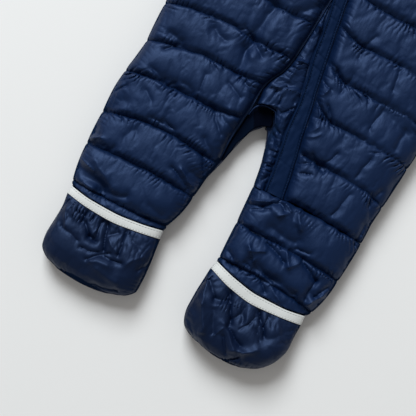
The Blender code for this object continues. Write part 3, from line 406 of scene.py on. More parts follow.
# Sleeve, along its axis from the armhole: s from the armhole's middle towards
# the cuff, up and low the half widths on the shoulder and the underarm side.
SLEEVE_TURN = 48.0        # degrees between the sleeve and the body's length
SLEEVE_START = (-129.5, 296.0)
SLEEVE = (
    # q,   s_up,   up,   s_low,  low
    (1, 0, 50, 62, -37),
    (2, 42, 51, 86, -38.5),
    (3, 84, 48, 110, -38.5),
    (4, 124, 43.5, 135, -38.5),
    (5, 160, 40, 160, -38),
)
CUFF = (
    # s,   half_width, half_height
    (160.4, 35.5, 8.6),
    (166, 35, 9.2),
    (180, 34.5, 9.2),
    (186, 34, 8.2),
)
CUFF_SLOT = (2.6, 0.9)    # the cuff's inside: less in width, and half height
CUFF_OFFSET = 1.0         # middle of the cuff, on the shoulder side of the axis
# ---------------------------------------------------------------- fine grids
ROW_STEP = 1.9            # between grid rows in the legs and lower body
ROW_STEP_FAR = 2.6        # and above them,
FAR_Q = 8.0               # from this row of the body up
SHELF_COLUMNS = 2
SEAM_WANDER = 0.9         # how far a stitched line strays to each side
SCENE_ROUND = 24.0        # how far in an open edge rounds up,
SCENE_ROUND_LEFT = 36.0   # on the outside of the left leg and body,
SCENE_ROUND_INSEAM = 32.0  # and on the inside of the right leg
RIM_INSET = 1.4           # how far an open edge tucks in below itself
ANKLE_LOW = 7.5           # how far the leg's end dips under the ankle tape
VALLEY_RISE = 6.0         # a stitched line lies this much higher than in the solid
BODY_Q = 4.2              # and from this row up
BODY_RISE = 2.1           # this much more
FLAT_X = (70, 115)        # the left body is flatter: from 0 to 1 across it,
FLAT_LOW = (-60, -20)     # up from the leg,
FLAT_HIGH = (230, 150)    # and down from the chest
UNDER = LAYER + GAP / 2   # underside of the front layer
OVER = LAYER - GAP / 2    # top of the back layer
SWELL_REACH = 20.0        # how far in a swollen outline is felt
NARROW = 0.45             # an edge rounds up within this share of a narrow piece
SHARP = 60.0              # edges are sharp from this angle
# the cloth that turns down at an open edge has a painted sheen: no reflection, a lighter colour
TURNED = 8.0              # width of cloth that turns down at an open edge
TOE_TURNED = 11.0         # and at the end of a foot


def noise(x, y, size, seed):
    """Smooth noise from -1 to 1 with lumps of a size in millimetres."""
    lattice = np.random.default_rng(seed).uniform(-1, 1, (256, 256))
    i, j = np.asarray(x, float) / size + 128, np.asarray(y, float) / size + 128
    i_0, j_0 = np.floor(i).astype(int), np.floor(j).astype(int)
    f, g = i - i_0, j - j_0
    f, g = f * f * (3 - 2 * f), g * g * (3 - 2 * g)
    i_0, j_0 = i_0 % 256, j_0 % 256
    i_1, j_1 = (i_0 + 1) % 256, (j_0 + 1) % 256
    low = lattice[i_0, j_0] * (1 - f) + lattice[i_1, j_0] * f
    high = lattice[i_0, j_1] * (1 - f) + lattice[i_1, j_1] * f
    return low * (1 - g) + high * g


def fine_places(knots, lengths):
    """Places q of the grid rows: every stitched line and even steps between them."""
    first, last = knots[0], knots[-1]
    marks = sorted({first, last, *range(math.ceil(first), math.floor(last) + 1)})
    places = []
    for low, high in zip(marks, marks[1:]):
        span = np.interp(high, knots, lengths) - np.interp(low, knots, lengths)
        count = max(3, round(float(span) / (ROW_STEP if low < FAR_Q else ROW_STEP_FAR)))
        places += [low + (high - low) * k / count for k in range(count)]
    return np.array(places + [last])


def fine_row(row, columns):
    """Points of one row, from the outer edge to the inner one."""
    width = math.hypot(row["x_in"] - row["x_out"], row["y_in"] - row["y_out"])
    inside = 1 - row["shelf"] / width
    u = np.concatenate((np.linspace(0, inside, columns - SHELF_COLUMNS),
                        np.linspace(inside, 1, SHELF_COLUMNS + 1)[1:]))
    x = row["x_out"] + (row["x_in"] - row["x_out"]) * u
    heights = [row[key] for key in ("y_out", "y_1", "y_2", "y_3", "y_in")]
    return np.column_stack((x, smooth([0, 0.25, 0.5, 0.75, 1], heights, u)))


def fine_points(rows, columns, places):
    """Points of a table's rows at the places along them."""
    return smooth([r["q"] for r in rows], [fine_row(r, columns) for r in rows], places)


def edge_distance(points):
    """Distance along each row from its first and from its last point."""
    step = np.linalg.norm(np.diff(points, axis=1), axis=2)
    start = np.concatenate((np.zeros((len(points), 1)), np.cumsum(step, axis=1)), axis=1)
    return start, start[:, -1:] - start


def swell(points, open_out, open_in, fullness):
    """Push open edges outwards where a channel is full, so the outline scallops."""
    moved = 0
    for end, inner, share, away in zip((0, -1), (1, -2), (open_out, open_in),
                                       edge_distance(points)):
        outwards = points[:, [end]] - points[:, [inner]]
        outwards = outwards / np.linalg.norm(outwards, axis=2, keepdims=True)
        near = (fullness * share)[:, None] * np.clip(1 - away / SWELL_REACH, 0, 1)
        moved = moved + near[..., None] * outwards
    return points + SCALLOP * moved


def openness(height):
    """1 where an edge is open, 0 where it is sewn to a neighbour."""
    return np.clip((SEAM - height) / (SEAM - EDGE), 0, 1)


def columns_of(rows, key, places):
    """A column of the rows, read at the places along them."""
    return np.interp(places, [r["q"] for r in rows], [r[key] for r in rows])


# How full a channel is from its lower stitched line (0) to its upper one (1):
# the filling lies against the lower line, and the wall slopes down to the upper.
FILL = (
    # t,    share
    (0, 0), (0.02, 0.17), (0.05, 0.45), (0.08, 0.71), (0.11, 0.90), (0.14, 0.98),
    (0.17, 1), (0.35, 0.915), (0.5, 0.835), (0.65, 0.745), (0.8, 0.65), (0.9, 0.56),
    (0.94, 0.45), (0.97, 0.28), (0.985, 0.15), (1, 0),
)


def plump(q):
    """How full a channel is at place q, where whole numbers are stitched lines."""
    return read(FILL, q - np.floor(q))[..., 0]


def quilted_heights(points, places, h_out, h_in, valley, puff, flat,
                    rounds=(SCENE_ROUND, SCENE_ROUND), flatter=0.0):
    """Height of a quilted wall above the layer line at each point, and its crown.

    The crown is 0 at the edges and 1 where the wall is as high as its filling.
    """
    start, end = edge_distance(points)
    width = (start + end)[:, :1]
    round_out, round_in = (
        np.minimum((ROUND_SEAM + (wide - ROUND_SEAM) * openness(h))[:, None], width * NARROW)
        for wide, h in zip(rounds, (h_out, h_in)))
    crown = arc(start / round_out) * arc((end - flat) / round_in)
    f = start / (start + end)
    base = h_out[:, None] * (1 - f) + h_in[:, None] * f
    low = valley + VALLEY_RISE + (ANKLE_LOW - valley) * np.clip(1 - places, 0, 1)
    low = low + BODY_RISE * np.clip(places - BODY_Q, 0, 1)
    x, y = points[..., 0], points[..., 1]
    flatter = flatter * ramp(x, *FLAT_X) * ramp(y, *FLAT_LOW) * ramp(y, *FLAT_HIGH)
    low = low[:, None] + (puff - low)[:, None] * flatter
    full = low + (puff - low) * (plump(places) * np.where(places < 1, LEG_END, 1))[:, None]
    return base + (full - base) * crown, crown


# ------------------------------------------------------------------- meshes
def world(points, height):
    """Pattern points and heights above the layer line as places in metres."""
    return np.stack(((points[..., 0] - CENTRE_X) * MM, (points[..., 1] - CENTRE_Y) * MM,
                     (LAYER + height) * MM), axis=-1)


def grid_faces(rows, columns, flip=False):
    """Quads of a grid of rows x columns vertices."""
    r, c = np.meshgrid(np.arange(rows - 1), np.arange(columns - 1), indexing="ij")
    a = (r * columns + c).ravel()
    quads = np.column_stack((a, a + 1, a + columns + 1, a + columns))
    return quads[:, ::-1] if flip else quads


def new_mesh(name, vertices, faces, sharp_from=None):
    """New object; sharp_from is the angle in degrees from which an edge is sharp."""
    data = bpy.data.meshes.new(name)
    data.from_pydata(np.asarray(vertices).reshape(-1, 3).tolist(), [],
                     [tuple(int(k) for k in face) for face in faces])
    data.update()
    data.shade_smooth()
    if sharp_from:
        data.set_sharp_from_angle(angle=math.radians(sharp_from))
    thing = bpy.data.objects.new(name, data)
    bpy.context.scene.collection.objects.link(thing)
    return thing


def close_grid(name, grid, under, inset, flip):
    """Closed piece: a shaped grid, a rim that tucks in below it, and a plane underside.

    grid: rows x columns x 3 in metres. inset: rows x 2, how far the rim of the
    first and the last column tucks in, in millimetres.
    """
    rows, columns = grid.shape[:2]
    first, last = grid[:, 0].copy(), grid[:, -1].copy()
    across = grid[:, -1, :2] - grid[:, 0, :2]
    across = across / np.linalg.norm(across, axis=1, keepdims=True)
    first[:, :2] += across * inset[:, :1] * MM
    last[:, :2] -= across * inset[:, 1:] * MM
    bottom, top = grid[0, 1:-1].copy(), grid[-1, 1:-1].copy()
    lower = np.concatenate((first, last, bottom, top))
    lower[:, 2] = under * MM
    index = np.arange(rows * columns).reshape(rows, columns)
    low_first, low_last, low_bottom, low_top = np.split(
        rows * columns + np.arange(len(lower)), np.cumsum((rows, rows, columns - 2)))
    low_bottom = np.array((low_first[0], *low_bottom, low_last[0]))
    low_top = np.array((low_first[-1], *low_top, low_last[-1]))

    faces = [tuple(q) for q in grid_faces(rows, columns)]
    for r in range(rows - 1):
        faces.append((index[r, 0], index[r + 1, 0], low_first[r + 1], low_first[r]))
        faces.append((index[r + 1, -1], index[r, -1], low_last[r], low_last[r + 1]))
        if 0 < r < rows - 2:
            faces.append((low_first[r + 1], low_last[r + 1], low_last[r], low_first[r]))
    for c in range(columns - 1):
        faces.append((low_bottom[c], low_bottom[c + 1], index[0, c + 1], index[0, c]))
        faces.append((index[-1, c], index[-1, c + 1], low_top[c + 1], low_top[c]))
    middle = columns // 2
    for line, left, right, turn in ((low_bottom, low_first[1], low_last[1], 1),
                                    (low_top, low_first[-2], low_last[-2], -1)):
        for c in range(columns - 1):
            corner = left if c < middle else right
            if corner not in (line[c], line[c + 1]):
                faces.append((line[c + 1], line[c], corner)[::turn])
        faces.append((line[middle], left, right)[::turn])
    if flip:
        faces = [f[::-1] for f in faces]
    return new_mesh(name, np.concatenate((grid.reshape(-1, 3), lower)), faces, SHARP)


def turned_faces(panel, count):
    """Material number of each face: 1, with a painted sheen, where an open edge turns down and
    in.
    """
    rows, columns = panel.grid.shape[:2]
    near = np.zeros((rows, columns), bool)
    for away, inset in zip(edge_distance(panel.grid / MM), panel.inset.T):
        near |= (away < TURNED) & (inset[:, None] > 0.5)
    if panel.tape is not None:
        near |= edge_distance(panel.grid.transpose(1, 0, 2) / MM)[1].T < TOE_TURNED
    marks = np.ones(count, int)
    marks[:(rows - 1) * (columns - 1)] = (near[:-1, :-1] & near[1:, 1:]).ravel()
    return marks


# --------------------------------------------------------------- simulation
FRAMES = 20
PRESSURE = 30.0
LOOSE = 0.045             # the cloth is cut this much longer than its line,
GATHERED = 0.30           # and this much at a gathered stitched line
REACH_BELOW = 11.0        # how far gathers reach below a stitched line
REACH_ABOVE = 6.0         # and above it
CLOTH = dict(
    quality=6, mass=0.3, air_damping=1, tension_stiffness=12, compression_stiffness=12,
    shear_stiffness=4, bending_stiffness=5, tension_damping=4, compression_damping=4,
    shear_damping=4, bending_damping=0.4, vertex_group_mass="pinned",
    vertex_group_shrink="loose", shrink_min=-LOOSE, shrink_max=-GATHERED,
    use_pressure=True,
)
CHANNEL = 41.0            # width of a channel
TUCK = 3.1                # height of the small gathers along a stitched line,
TUCK_LENGTH = 5.8         # from one to the next
SIDE_TUCK = 2.2           # height of the gathers along a sewn side edge,
SIDE_LENGTH = 5.6         # from one to the next,
SIDE_REACH = 11.0         # and how far in they reach
BROAD = 8                 # cells over which the simulated form is evened out
CREASES = 0.32            # share of the simulated creases that is kept
SWELL = 0.15              # and of the simulated swelling
FINER = 2                 # finer rows and columns for the gathers
FACETS = 0.45             # height of the flat places between creases,
FOOT_FACETS = 1.0         # and on the feet
CRUMPLED = 0.8            # share of the creases' listed height
FOLD_BROAD = 3.2          # a fold wider than this is broad,
FOLD_DEEP = 1.25          # and this much higher than listed;
FOLD_SHARP = 1.75         # a narrow one is this much higher
CRUMPLE_NEAR = 13.0       # how far from a stitched line creases are dense
CRUMPLE = (
    # across, along, height: sharp creases of thin cloth over its filling
    (11, 26, 2.6), (6, 13, 0.95), (3.2, 6.5, 0.25),
)

# Folds across the channels: a ridge (+) or a trough (-) along a line.
FOLDS = (
    # x_0,   y_0,   x_1,   y_1,  height, width
    (-39, 104, -45, 52, -3.4, 6),
    (-28, 100, -33, 56, 1.4, 7),
    (-45, 52, -43, 24, -3, 6),
    (-14, 105, 2, 124, -3, 5),
    (55, -131, 84, -141, -5, 5),
    (108, -141, 124, -150, -3, 5),
    (128, 112, 131, 88, -2, 6),
    # right leg
    (-135, -127, -109, -133, -4, 6),
    (-125, -115, -100, -131, 2, 4),
    (-146, -101, -143, -86, -3, 6),
    (-111, -81, -104, -72, -1.6, 6),
    (-140, -64, -128, -49, -3.5, 6),
    (-141, -47, -137, -38, 2, 5),
    (-116, -9, -92, -12, -3, 5),
    (-117, -14, -102, -19, 2, 4),
    (-142, -139, -131, -143, -2.5, 5),
    (-59, -129, -46, -133, -2.5, 5),
    (-39, -81, -28, -82, -3, 5),
    # right body
    (-48, -14, -28, -34, -1.5, 2.5),
    (-35, -18, -9, -30, -1.2, 2.2),
    (-31, -9, -17, -20, 1.4, 3),
    (-118, 31, -104, 27, -3, 4.5),
    (-117, 14, -105, 24, -2, 2.5),
    (-81, 55, -67, 49, -3, 5),
    (-56, 70, -27, 51, -2, 3),
    (-60, 63, -36, 47, 1.6, 4),
    (-45, 13, -28, 6, -1.4, 2.5),
    (-32, 22, -16, 14, -1.4, 2.5),
    # left body
    (57, 95, 62, 120, -1.6, 3),
    (100, 81, 98, 107, -1.6, 3),
    (59, 56, 61, 77, -1.4, 2.6),
    (99, 36, 102, 60, -1.6, 3),
    (130, 32, 133, 51, -1.8, 3.5),
    (108, -12, 112, 11, -1.5, 3),
    (105, -54, 111, -30, -1.5, 3),
    (134, -32, 137, -12, -1.8, 3.5),
    # left foot
    (24, -165, 31, -189, 1.8, 3.2), (31, -189, 44, -214, 2.5, 3.5),
    (27, -167, 41, -180, -1.9, 3), (41, -180, 54, -177, -2.6, 3.5),
    (49, -166, 67, -195, -3, 3), (66, -191, 70, -182, -2.1, 3),
    (76, -188, 71, -175, -1.5, 2.5), (66, -199, 84, -209, -2.7, 3.2),
    (60, -198, 79, -214, 1.3, 2.6), (64, -210, 74, -221, -1.8, 2),
    (44, -191, 54, -211, -2.1, 4), (56, -213, 61, -203, 1, 1.5),
    (84, -170, 101, -191, -2.7, 2.6), (89, -190, 98, -197, -1.5, 1.8),
    (76, -216, 89, -214, 2.2, 3.6), (89, -214, 101, -205, 2.2, 3.6),
    (74, -231, 87, -220, -2.2, 2), (77, -195, 87, -179, -1.2, 1.4),
    (75, -175, 79, -187, 0.8, 2.2), (95, -169, 103, -179, -1, 2),
    (46, -184, 54, -179, 1, 2.5), (120, -189, 135, -187, -1, 2.6),
    (102, -195, 123, -175, -1.3, 5), (27, -212, 47, -230, -1, 3),
    # right foot
    (-107, -174, -97, -184, -2.4, 2.4), (-97, -184, -88, -184, -2.4, 2.4),
    (-92, -163, -91, -182, -2.2, 3), (-87, -165, -77, -190, -3, 3),
    (-66, -162, -64, -187, -2, 1.7), (-101, -197, -81, -193, -1.5, 1.5),
    (-90, -204, -70, -190, -1.8, 1.7), (-74, -196, -58, -192, -2, 2),
    (-85, -204, -68, -200, 2.4, 4), (-110, -176, -110, -163, -1.8, 2),
    (-102, -170, -100, -159, -1.5, 1.8), (-79, -174, -73, -168, -1.8, 2.8),
    (-126, -187, -105, -192, -1.4, 2), (-131, -169, -122, -185, 1.1, 2.2),
    (-125, -162, -117, -176, 1, 2), (-73, -225, -48, -219, -1.8, 2),
    (-39, -191, -32, -181, -1.4, 2.4), (-57, -167, -46, -173, -1.2, 2.6),
    (-76, -209, -54, -211, 1.6, 5), (-77, -177, -66, -185, 1, 2),
    (-93, -172, -95, -180, 1.1, 1.8), (-52, -190, -39, -176, 1, 3),
    # left leg
    (123, -133, 144, -142, -2, 3.5),
    (26, -83, 42, -80, -2.2, 1.8), (42, -80, 55, -68, -2.2, 1.8),
    (28, -79, 46, -72, 1.4, 1.6), (32, -87, 49, -80, -1.6, 1.5),
    (59, -81, 66, -74, 1.6, 1.7), (57, -69, 62, -74, -2, 1.4),
    (59, -66, 68, -70, 1.6, 1.6), (76, -65, 84, -81, 1.8, 2.6),
    (74, -75, 86, -91, -2, 4.5), (56, -78, 83, -76, 2.6, 6.5),
    (58, -95, 86, -96, -3.6, 6), (69, -102, 96, -101, -1.6, 5),
    (91, -101, 104, -100, -1.8, 2), (47, -123, 62, -117, 1.6, 1.8),
    (45, -119, 57, -131, 2.4, 2.4), (57, -131, 82, -144, 2.4, 3),
    (32, -135, 44, -142, -2.6, 3.2), (35, -144, 50, -143, -2, 2.5),
    (50, -137, 62, -141, -2.4, 3), (64, -137, 106, -142, -3.6, 4.4),
    (62, -109, 86, -117, -2.6, 2.2), (42, -105, 55, -106, -2, 1.8),
    (45, -102, 57, -103, 1.4, 1.5), (81, -106, 92, -119, 1.8, 2.2),
    (92, -119, 100, -110, 1.6, 2.4), (102, -109, 119, -120, -3, 2.6),
    (119, -120, 121, -140, -2.6, 3), (125, -143, 134, -128, 2, 2.6),
    (127, -135, 133, -120, -2.2, 2.2), (75, -145, 82, -153, -2, 1.8),
    (84, -144, 97, -154, 1.4, 2),
    # inner strip
    (-13, 27, 0, 27, -2, 1.7), (0, 27, 8, 37, -1.8, 1.7), (-7, 33, 0, 53, 1.4, 2.2),
    (6, 44, 7, 60, 1.2, 2), (7, 18, 10, 28, -1.6, 1.4), (14, 11, 22, 19, -1.6, 1.4),
    (22, 19, 22, 33, -1.6, 1.5), (20, 7, 22, 22, 1.3, 1.6), (13, -3, 23, -6, -1.6, 1.5),
    (17, -10, 28, -19, -2.2, 1.8), (28, -23, 27, -12, 1.3, 1.5),
    (20, -26, 27, -26, -1.3, 1.3), (26, -41, 35, -37, -2.4, 1.7),
    (28, -54, 32, -49, -1.3, 1.4),
    # beside the zip
    (47, -1, 58, 8, 1.2, 1.6), (47, 4, 53, 16, 1.1, 1.8), (52, -25, 63, -19, -1.8, 1.5),
    (58, -32, 68, -28, -1.6, 1.4), (50, -19, 54, -15, -1.6, 1.5),
    (60, -12, 75, -18, -2.6, 3), (74, -13, 83, 0, -2, 3), (52, 39, 64, 22, -2, 2.2),
    (38, 59, 48, 54, -1.8, 1.8), (34, 78, 46, 72, -2, 2), (46, 72, 56, 64, -2, 2),
    (40, 44, 46, 54, 1.4, 1.8), (45, 24, 55, 24, -1.4, 1.5),
    # right leg
    (-128, -134, -106, -135, -4, 6), (-104, -140, -31, -140, -3, 5),
    (-140, -46, -134, -36, -2.4, 2.6), (-114, -31, -105, -38, -1.4, 3),
    (-137, -100, -118, -95, -3.2, 4.5), (-141, -97, -132, -91, 2.2, 2.4),
    (-141, -88, -134, -89, -1.6, 3), (-57, -86, -33, -96, -2.4, 3),
    (-47, -84, -28, -93, 2, 2.4), (-36, -61, -27, -74, -2.2, 2.4),
    (-42, -45, -27, -57, -2.6, 4), (-110, -140, -82, -132, -3, 3.6),
    (-138, -117, -122, -125, 1.4, 2), (-98, -53, -78, -50, -2, 3),
    (-84, -48, -72, -51, -1.8, 2.6), (-83, -7, -72, -11, -2.6, 4),
    (-66, -8, -69, 11, -1, 2),
    # left body
    (109, 57, 135, 48, -3, 9),
    # rim of the crotch opening
    (-8, 12, 5, 15.5, 1.6, 1.8),
    (138, -70, 139, -51, -1.8, 3.5),
)


def fold_height(x, y):
    """Height that the large folds add at x, y."""
    total = np.zeros_like(x)
    x = x + 1.7 * noise(x, y, 15, 201) + 0.8 * noise(x, y, 6, 203)
    y = y + 1.7 * noise(x, y, 15, 205) + 0.8 * noise(x, y, 6, 207)
    for x_0, y_0, x_1, y_1, height, width in FOLDS:
        scale, power = (FOLD_DEEP, 1.5) if width > FOLD_BROAD else (FOLD_SHARP, 1.1)
        along = np.array((x_1 - x_0, y_1 - y_0))
        length = np.hypot(*along)
        along = along / length
        t = np.clip((x - x_0) * along[0] + (y - y_0) * along[1], 0, length)
        away = np.hypot(x - x_0 - t * along[0], y - y_0 - t * along[1])
        total += height * scale * np.exp(-(away / width) ** power)
    return total


def crumple(x, y, places, seed, facets):
    """Height of the creases, which run mostly across the channels."""
    x_1 = x + 5 * noise(x, y, 19, seed + 20)
    y_1 = y + 7 * noise(x, y, 23, seed + 21)
    total = 0
    for across, along, height in CRUMPLE:
        lumps = noise(x_1, y_1 * across / along, across, seed + int(along))
        total = total + height * (np.abs(lumps) ** 0.7 - 0.45)
    line = np.abs(places - np.round(places))[:, None] * CHANNEL
    side = np.minimum(*edge_distance(np.stack((x, y), axis=-1)))
    near = bell(line, CRUMPLE_NEAR) + bell(side, CRUMPLE_NEAR)
    patch = np.clip(0.35 + 0.9 * noise(x, y, 42, seed + 22), 0, 1)
    total = total * np.clip(0.10 + 0.2 * patch + 0.6 * near * patch, 0, 1)
    return total + facets * (np.abs(noise(x_1 + 0.5 * y_1, y_1, 21, seed + 23)) - 0.33)


def pleats(turns):
    """Sharp valleys at whole turns and round ridges between them, from 1 to -0.35."""
    return np.maximum(1 - 2 * np.abs(np.sin(math.pi * turns)) ** 0.7, -0.35)


def inside(crown):
    """Share of a fold's height at a place: folds fade out towards the edges."""
    return np.minimum(1.8 * crown, 1)


class Panel:
    """A quilted piece on its grid, before and after the simulation."""

    def __init__(self, name, points, places, height, crown, pinned, side, inset,
                 pressure=1.0, gather=1.0, seed=1, form=None, reach=1.0,
                 facets=FACETS, tape=None):
        self.name, self.points, self.places, self.form = name, points, places, form
        self.height, self.crown, self.pinned = height, crown, pinned
        self.side, self.inset, self.seed = side, inset, seed
        self.pressure, self.gather, self.reach = pressure, gather, reach
        self.facets, self.tape = facets, tape
        self.flip = (side > 0) != (points[0, 0, 1] > points[-1, 0, 1])

    def looseness(self):
        """Share, 0 to 1, of the way from LOOSE to GATHERED at each grid point."""
        x, y = self.points[..., 0], self.points[..., 1]
        t = (self.places - np.floor(self.places))[:, None]
        below, above = bell((1 - t) * CHANNEL, REACH_BELOW), bell(t * CHANNEL, REACH_ABOVE)
        uneven = np.clip(0.62 + 0.75 * noise(x, y, 38, self.seed + 2), 0.1, 1)
        return np.clip(self.gather * uneven * np.maximum(below, 0.85 * above), 0, 1)

    def make(self):
        """The open grid with its cloth settings, ready to be simulated."""
        x, y = self.points[..., 0], self.points[..., 1]
        start = self.height + 0.3 * self.crown * noise(x, y, 5, self.seed + 3)
        self.thing = new_mesh(self.name + "_helper", world(self.points, start),
                              grid_faces(*self.height.shape, self.flip))
        group = self.thing.vertex_groups.new(name="pinned")
        group.add([int(k) for k in np.flatnonzero(self.pinned.ravel())], 1, "REPLACE")
        loose = self.thing.vertex_groups.new(name="loose")
        for k, share in enumerate(self.looseness().ravel()):
            loose.add([k], float(share), "REPLACE")
        cloth = self.thing.modifiers.new("fill", "CLOTH")
        for key, value in CLOTH.items():
            setattr(cloth.settings, key, value)
        cloth.settings.uniform_pressure_force = PRESSURE * self.pressure
        cloth.settings.effector_weights.gravity = 0
        cloth.collision_settings.use_collision = False
        cloth.point_cache.frame_start, cloth.point_cache.frame_end = 1, FRAMES

    def read(self):
        """Take the simulated shape and delete the helper."""
        shown = self.thing.evaluated_get(bpy.context.evaluated_depsgraph_get()).to_mesh()
        places = np.empty(self.height.size * 3, np.float32)
        shown.vertices.foreach_get("co", places)
        self.grid = places.reshape(*self.height.shape, 3).astype(float)
        bpy.data.objects.remove(self.thing, do_unlink=True)

    def tucks(self, points, places, crown):
        """Height of the small gathers that the thread pulls up beside its line."""
        x, y = points[..., 0], points[..., 1]
        t = (places - np.floor(places))[:, None]
        line = np.floor(places + 0.5)[:, None]
        below, above = (1 - t) * CHANNEL, t * CHANNEL
        skew = 0.09 * noise(x, 40 * line, 34, self.seed + 11)
        drift = (1.5 * noise(x, 60 * line, 31, self.seed + 7)
                 + 0.55 * noise(x, y, 11, self.seed + 8) + skew * (below - above))
        fold = pleats(x / TUCK_LENGTH + drift + 0.37 * line)
        long = 6.8 + 5.0 * noise(x, y + 1000, 13, self.seed + 9)
        grown = np.clip(below / 2, 0.45, 1) * bell(below, long)
        grown = grown + 0.7 * np.clip(above / 2, 0.45, 1) * bell(
            above, 0.55 * long * self.reach)
        uneven = np.clip(0.55 + 1.1 * noise(x, y, 13, self.seed + 10), 0.05, 1.3)
        return -TUCK * self.gather * grown * fold * uneven * inside(crown)

    def side_tucks(self, points, sewn):
        """Height of the gathers beside the edges, which run in from them."""
        x, y = points[..., 0], points[..., 1]
        total = 0
        for away, share, seed in zip(edge_distance(points), sewn.T, (0, 1)):
            drift = 1.3 * noise(x, y, 27, self.seed + 12 + seed)
            fold = pleats(y / SIDE_LENGTH + drift + 0.03 * away)
            long = SIDE_REACH * (1 + 0.6 * noise(y, away, 13, self.seed + 14 + seed))
            uneven = np.clip(0.6 + 0.9 * noise(x, y, 29, self.seed + 16), 0.1, 1.3)
            total = total - share[:, None] * uneven * fold * bell(away, long)
        return SIDE_TUCK * total

    def finish(self):
        """Keep the wall's form, take its creases from the simulation, add the folds."""
        moved = self.grid - world(self.points, self.height)
        broad = blur(moved, BROAD)
        moved = CREASES * (moved - broad) + SWELL * broad
        times = FINER if "front" in self.name or "foot" in self.name else 1
        rows = np.arange(len(moved))
        moved, points = finer(moved, times), finer(self.points, times)
        self.inset = smooth(rows, self.inset, split(rows, times))
        self.places = np.interp(split(rows, times), rows, self.places)
        if self.form:
            height, crown = self.form(points, self.places)
            points = self.ragged(points, crown)
        else:
            height, crown = finer(self.height, times), finer(self.crown, times)
        x, y = points[..., 0], points[..., 1]
        full = inside(crown)
        rise = self.tucks(points, self.places, crown) + full * fold_height(x, y)
        sewn = 1 - 0.6 * self.inset / RIM_INSET
        rise = rise + np.minimum(2 * crown, 1) * self.side_tucks(points, sewn)
        rise = rise + full * CRUMPLED * crumple(x, y, self.places, self.seed, self.facets)
        if self.tape is not None:
            self.tape = np.interp(split(rows, times), rows, self.tape)
            rise = rise * np.clip((self.tape - 1) / 0.3, 0, 1)[:, None]
        self.grid = world(points, height + rise) + moved * np.clip(3 * crown, 0, 1)[..., None]

    def ragged(self, points, crown):
        """Let the stitched lines stray a little to each side."""
        sewn = bell((self.places - np.round(self.places)) * CHANNEL, 3)[:, None] * crown
        points = points.copy()
        points[..., 1] += SEAM_WANDER * sewn * noise(points[..., 0], points[..., 1], 5,
                                                     self.seed + 5)
        return points


def simulate(panels):
    """Fill the panels with pressure."""
    for panel in panels:
        panel.make()
    scene = bpy.context.scene
    scene.frame_start, scene.frame_end = 1, FRAMES
    for number in range(1, FRAMES + 1):
        scene.frame_set(number)
    for panel in panels:
        panel.read()
    scene.frame_set(1)


def blur(values, reach):
    """Even out a grid over a few of its cells."""
    kernel = np.exp(-(np.arange(-3 * reach, 3 * reach + 1) / reach) ** 2)
    kernel = kernel / kernel.sum()
    for axis in (0, 1):
        pad = [(0, 0)] * values.ndim
        pad[axis] = (3 * reach, 3 * reach)
        wide = np.pad(values, pad, "edge")
        values = np.apply_along_axis(np.convolve, axis, wide, kernel, "valid")
    return values


def split(knots, times):
    """The knots with each step between them split evenly."""
    steps = np.arange(times) / times
    inside = (knots[:-1, None] + np.diff(knots)[:, None] * steps).ravel()
    return np.append(inside, knots[-1])


def finer(values, times):
    """A grid read at more places: its rows and columns are split evenly."""
    for _ in range(2):
        knots = np.arange(len(values))
        values = np.moveaxis(smooth(knots, values, split(knots, times)), 1, 0)
    return values
# -------------------------------------------------------------------- panels
OUTLINE_SWELL = 1.8       # channels swell the outline more than in the solid
SOLE_Q, TOE_Q = 0.4, 7.0  # rows of the soles
FOOT_COLUMNS = 64
TAPE_ROWS = 5             # grid rows under an ankle's tape
TOE_ROWS = 44             # and from there to the toe


def beside_zip(side, first):
    """Edge next to the zip for place_edges, from row first up."""
    def edge(q, y):
        return read(ZIP_LINE, [y])[0, 0] + side * (ZIP_HALF + GAP) if q >= first else None
    return edge


def follow_rise(points, places, column, side, first, last):
    """Put one side of the rows first to last on the centre front seam."""
    for row, q in zip(points, places):
        if first <= q <= last:
            row[column, 0] = read(RISE_SEAM, [row[column, 1]])[0, 0] + side * 1.2 * GAP


def whole(places):
    """True at the stitched lines."""
    return np.abs(places - np.round(places)) < 1e-6


def taped(places):
    """True for the rows of a foot that lie under its ankle's tape."""
    return places <= 1.001


def pins(shape, rows=False, flat=False):
    """Grid points that the simulation holds: the outline, some rows, a flat edge."""
    pinned = np.zeros(shape, bool) | flat
    pinned[rows] = True
    pinned[[0, -1]] = True
    pinned[:, [0, -1]] = True
    return pinned


def quilted_panel(name, rows, columns, side, zip_from, rise=None, valley=VALLEY,
                  puff=PUFF, pressure=1.0, seed=1, rounds=(SCENE_ROUND, SCENE_ROUND),
                  flatter=0.0):
    """A front panel: its inner edge is on the zip from row zip_from up.

    rise: column, side, first and last row that lie on the centre front seam.
    """
    def edges(places):
        """Heights of both edges, and width of the flat edge under the zip's flap."""
        outer, inner = (columns_of(rows, key, places) for key in ("h_out", "h_in"))
        ledge = columns_of(rows, "shelf", places) * (1 - openness(inner))
        return outer, inner, ledge[:, None]

    def form(points, places):
        outer, inner, ledge = edges(places)
        return quilted_heights(points, places, outer, inner, valley, puff, ledge, rounds,
                               flatter)

    places = fine_places([r["q"] for r in rows], [r["y_2"] for r in rows])
    h_out, h_in, flat = edges(places)
    opened = openness(h_out), openness(h_in)
    swollen = lobe(places) ** 0.5 * OUTLINE_SWELL      # a notch at each thread
    points = swell(fine_points(rows, columns, places), *opened, swollen)
    place_edges(points, places, side, FRONT_DROP, beside_zip(side, zip_from))
    if rise:
        follow_rise(points, places, *rise)
    height, crown = form(points, places)
    pinned = pins(height.shape, whole(places), edge_distance(points)[1] < flat - 0.1)
    return Panel(name, points, places, height, crown, pinned, side,
                 RIM_INSET * np.column_stack(opened), pressure, seed=seed, form=form)


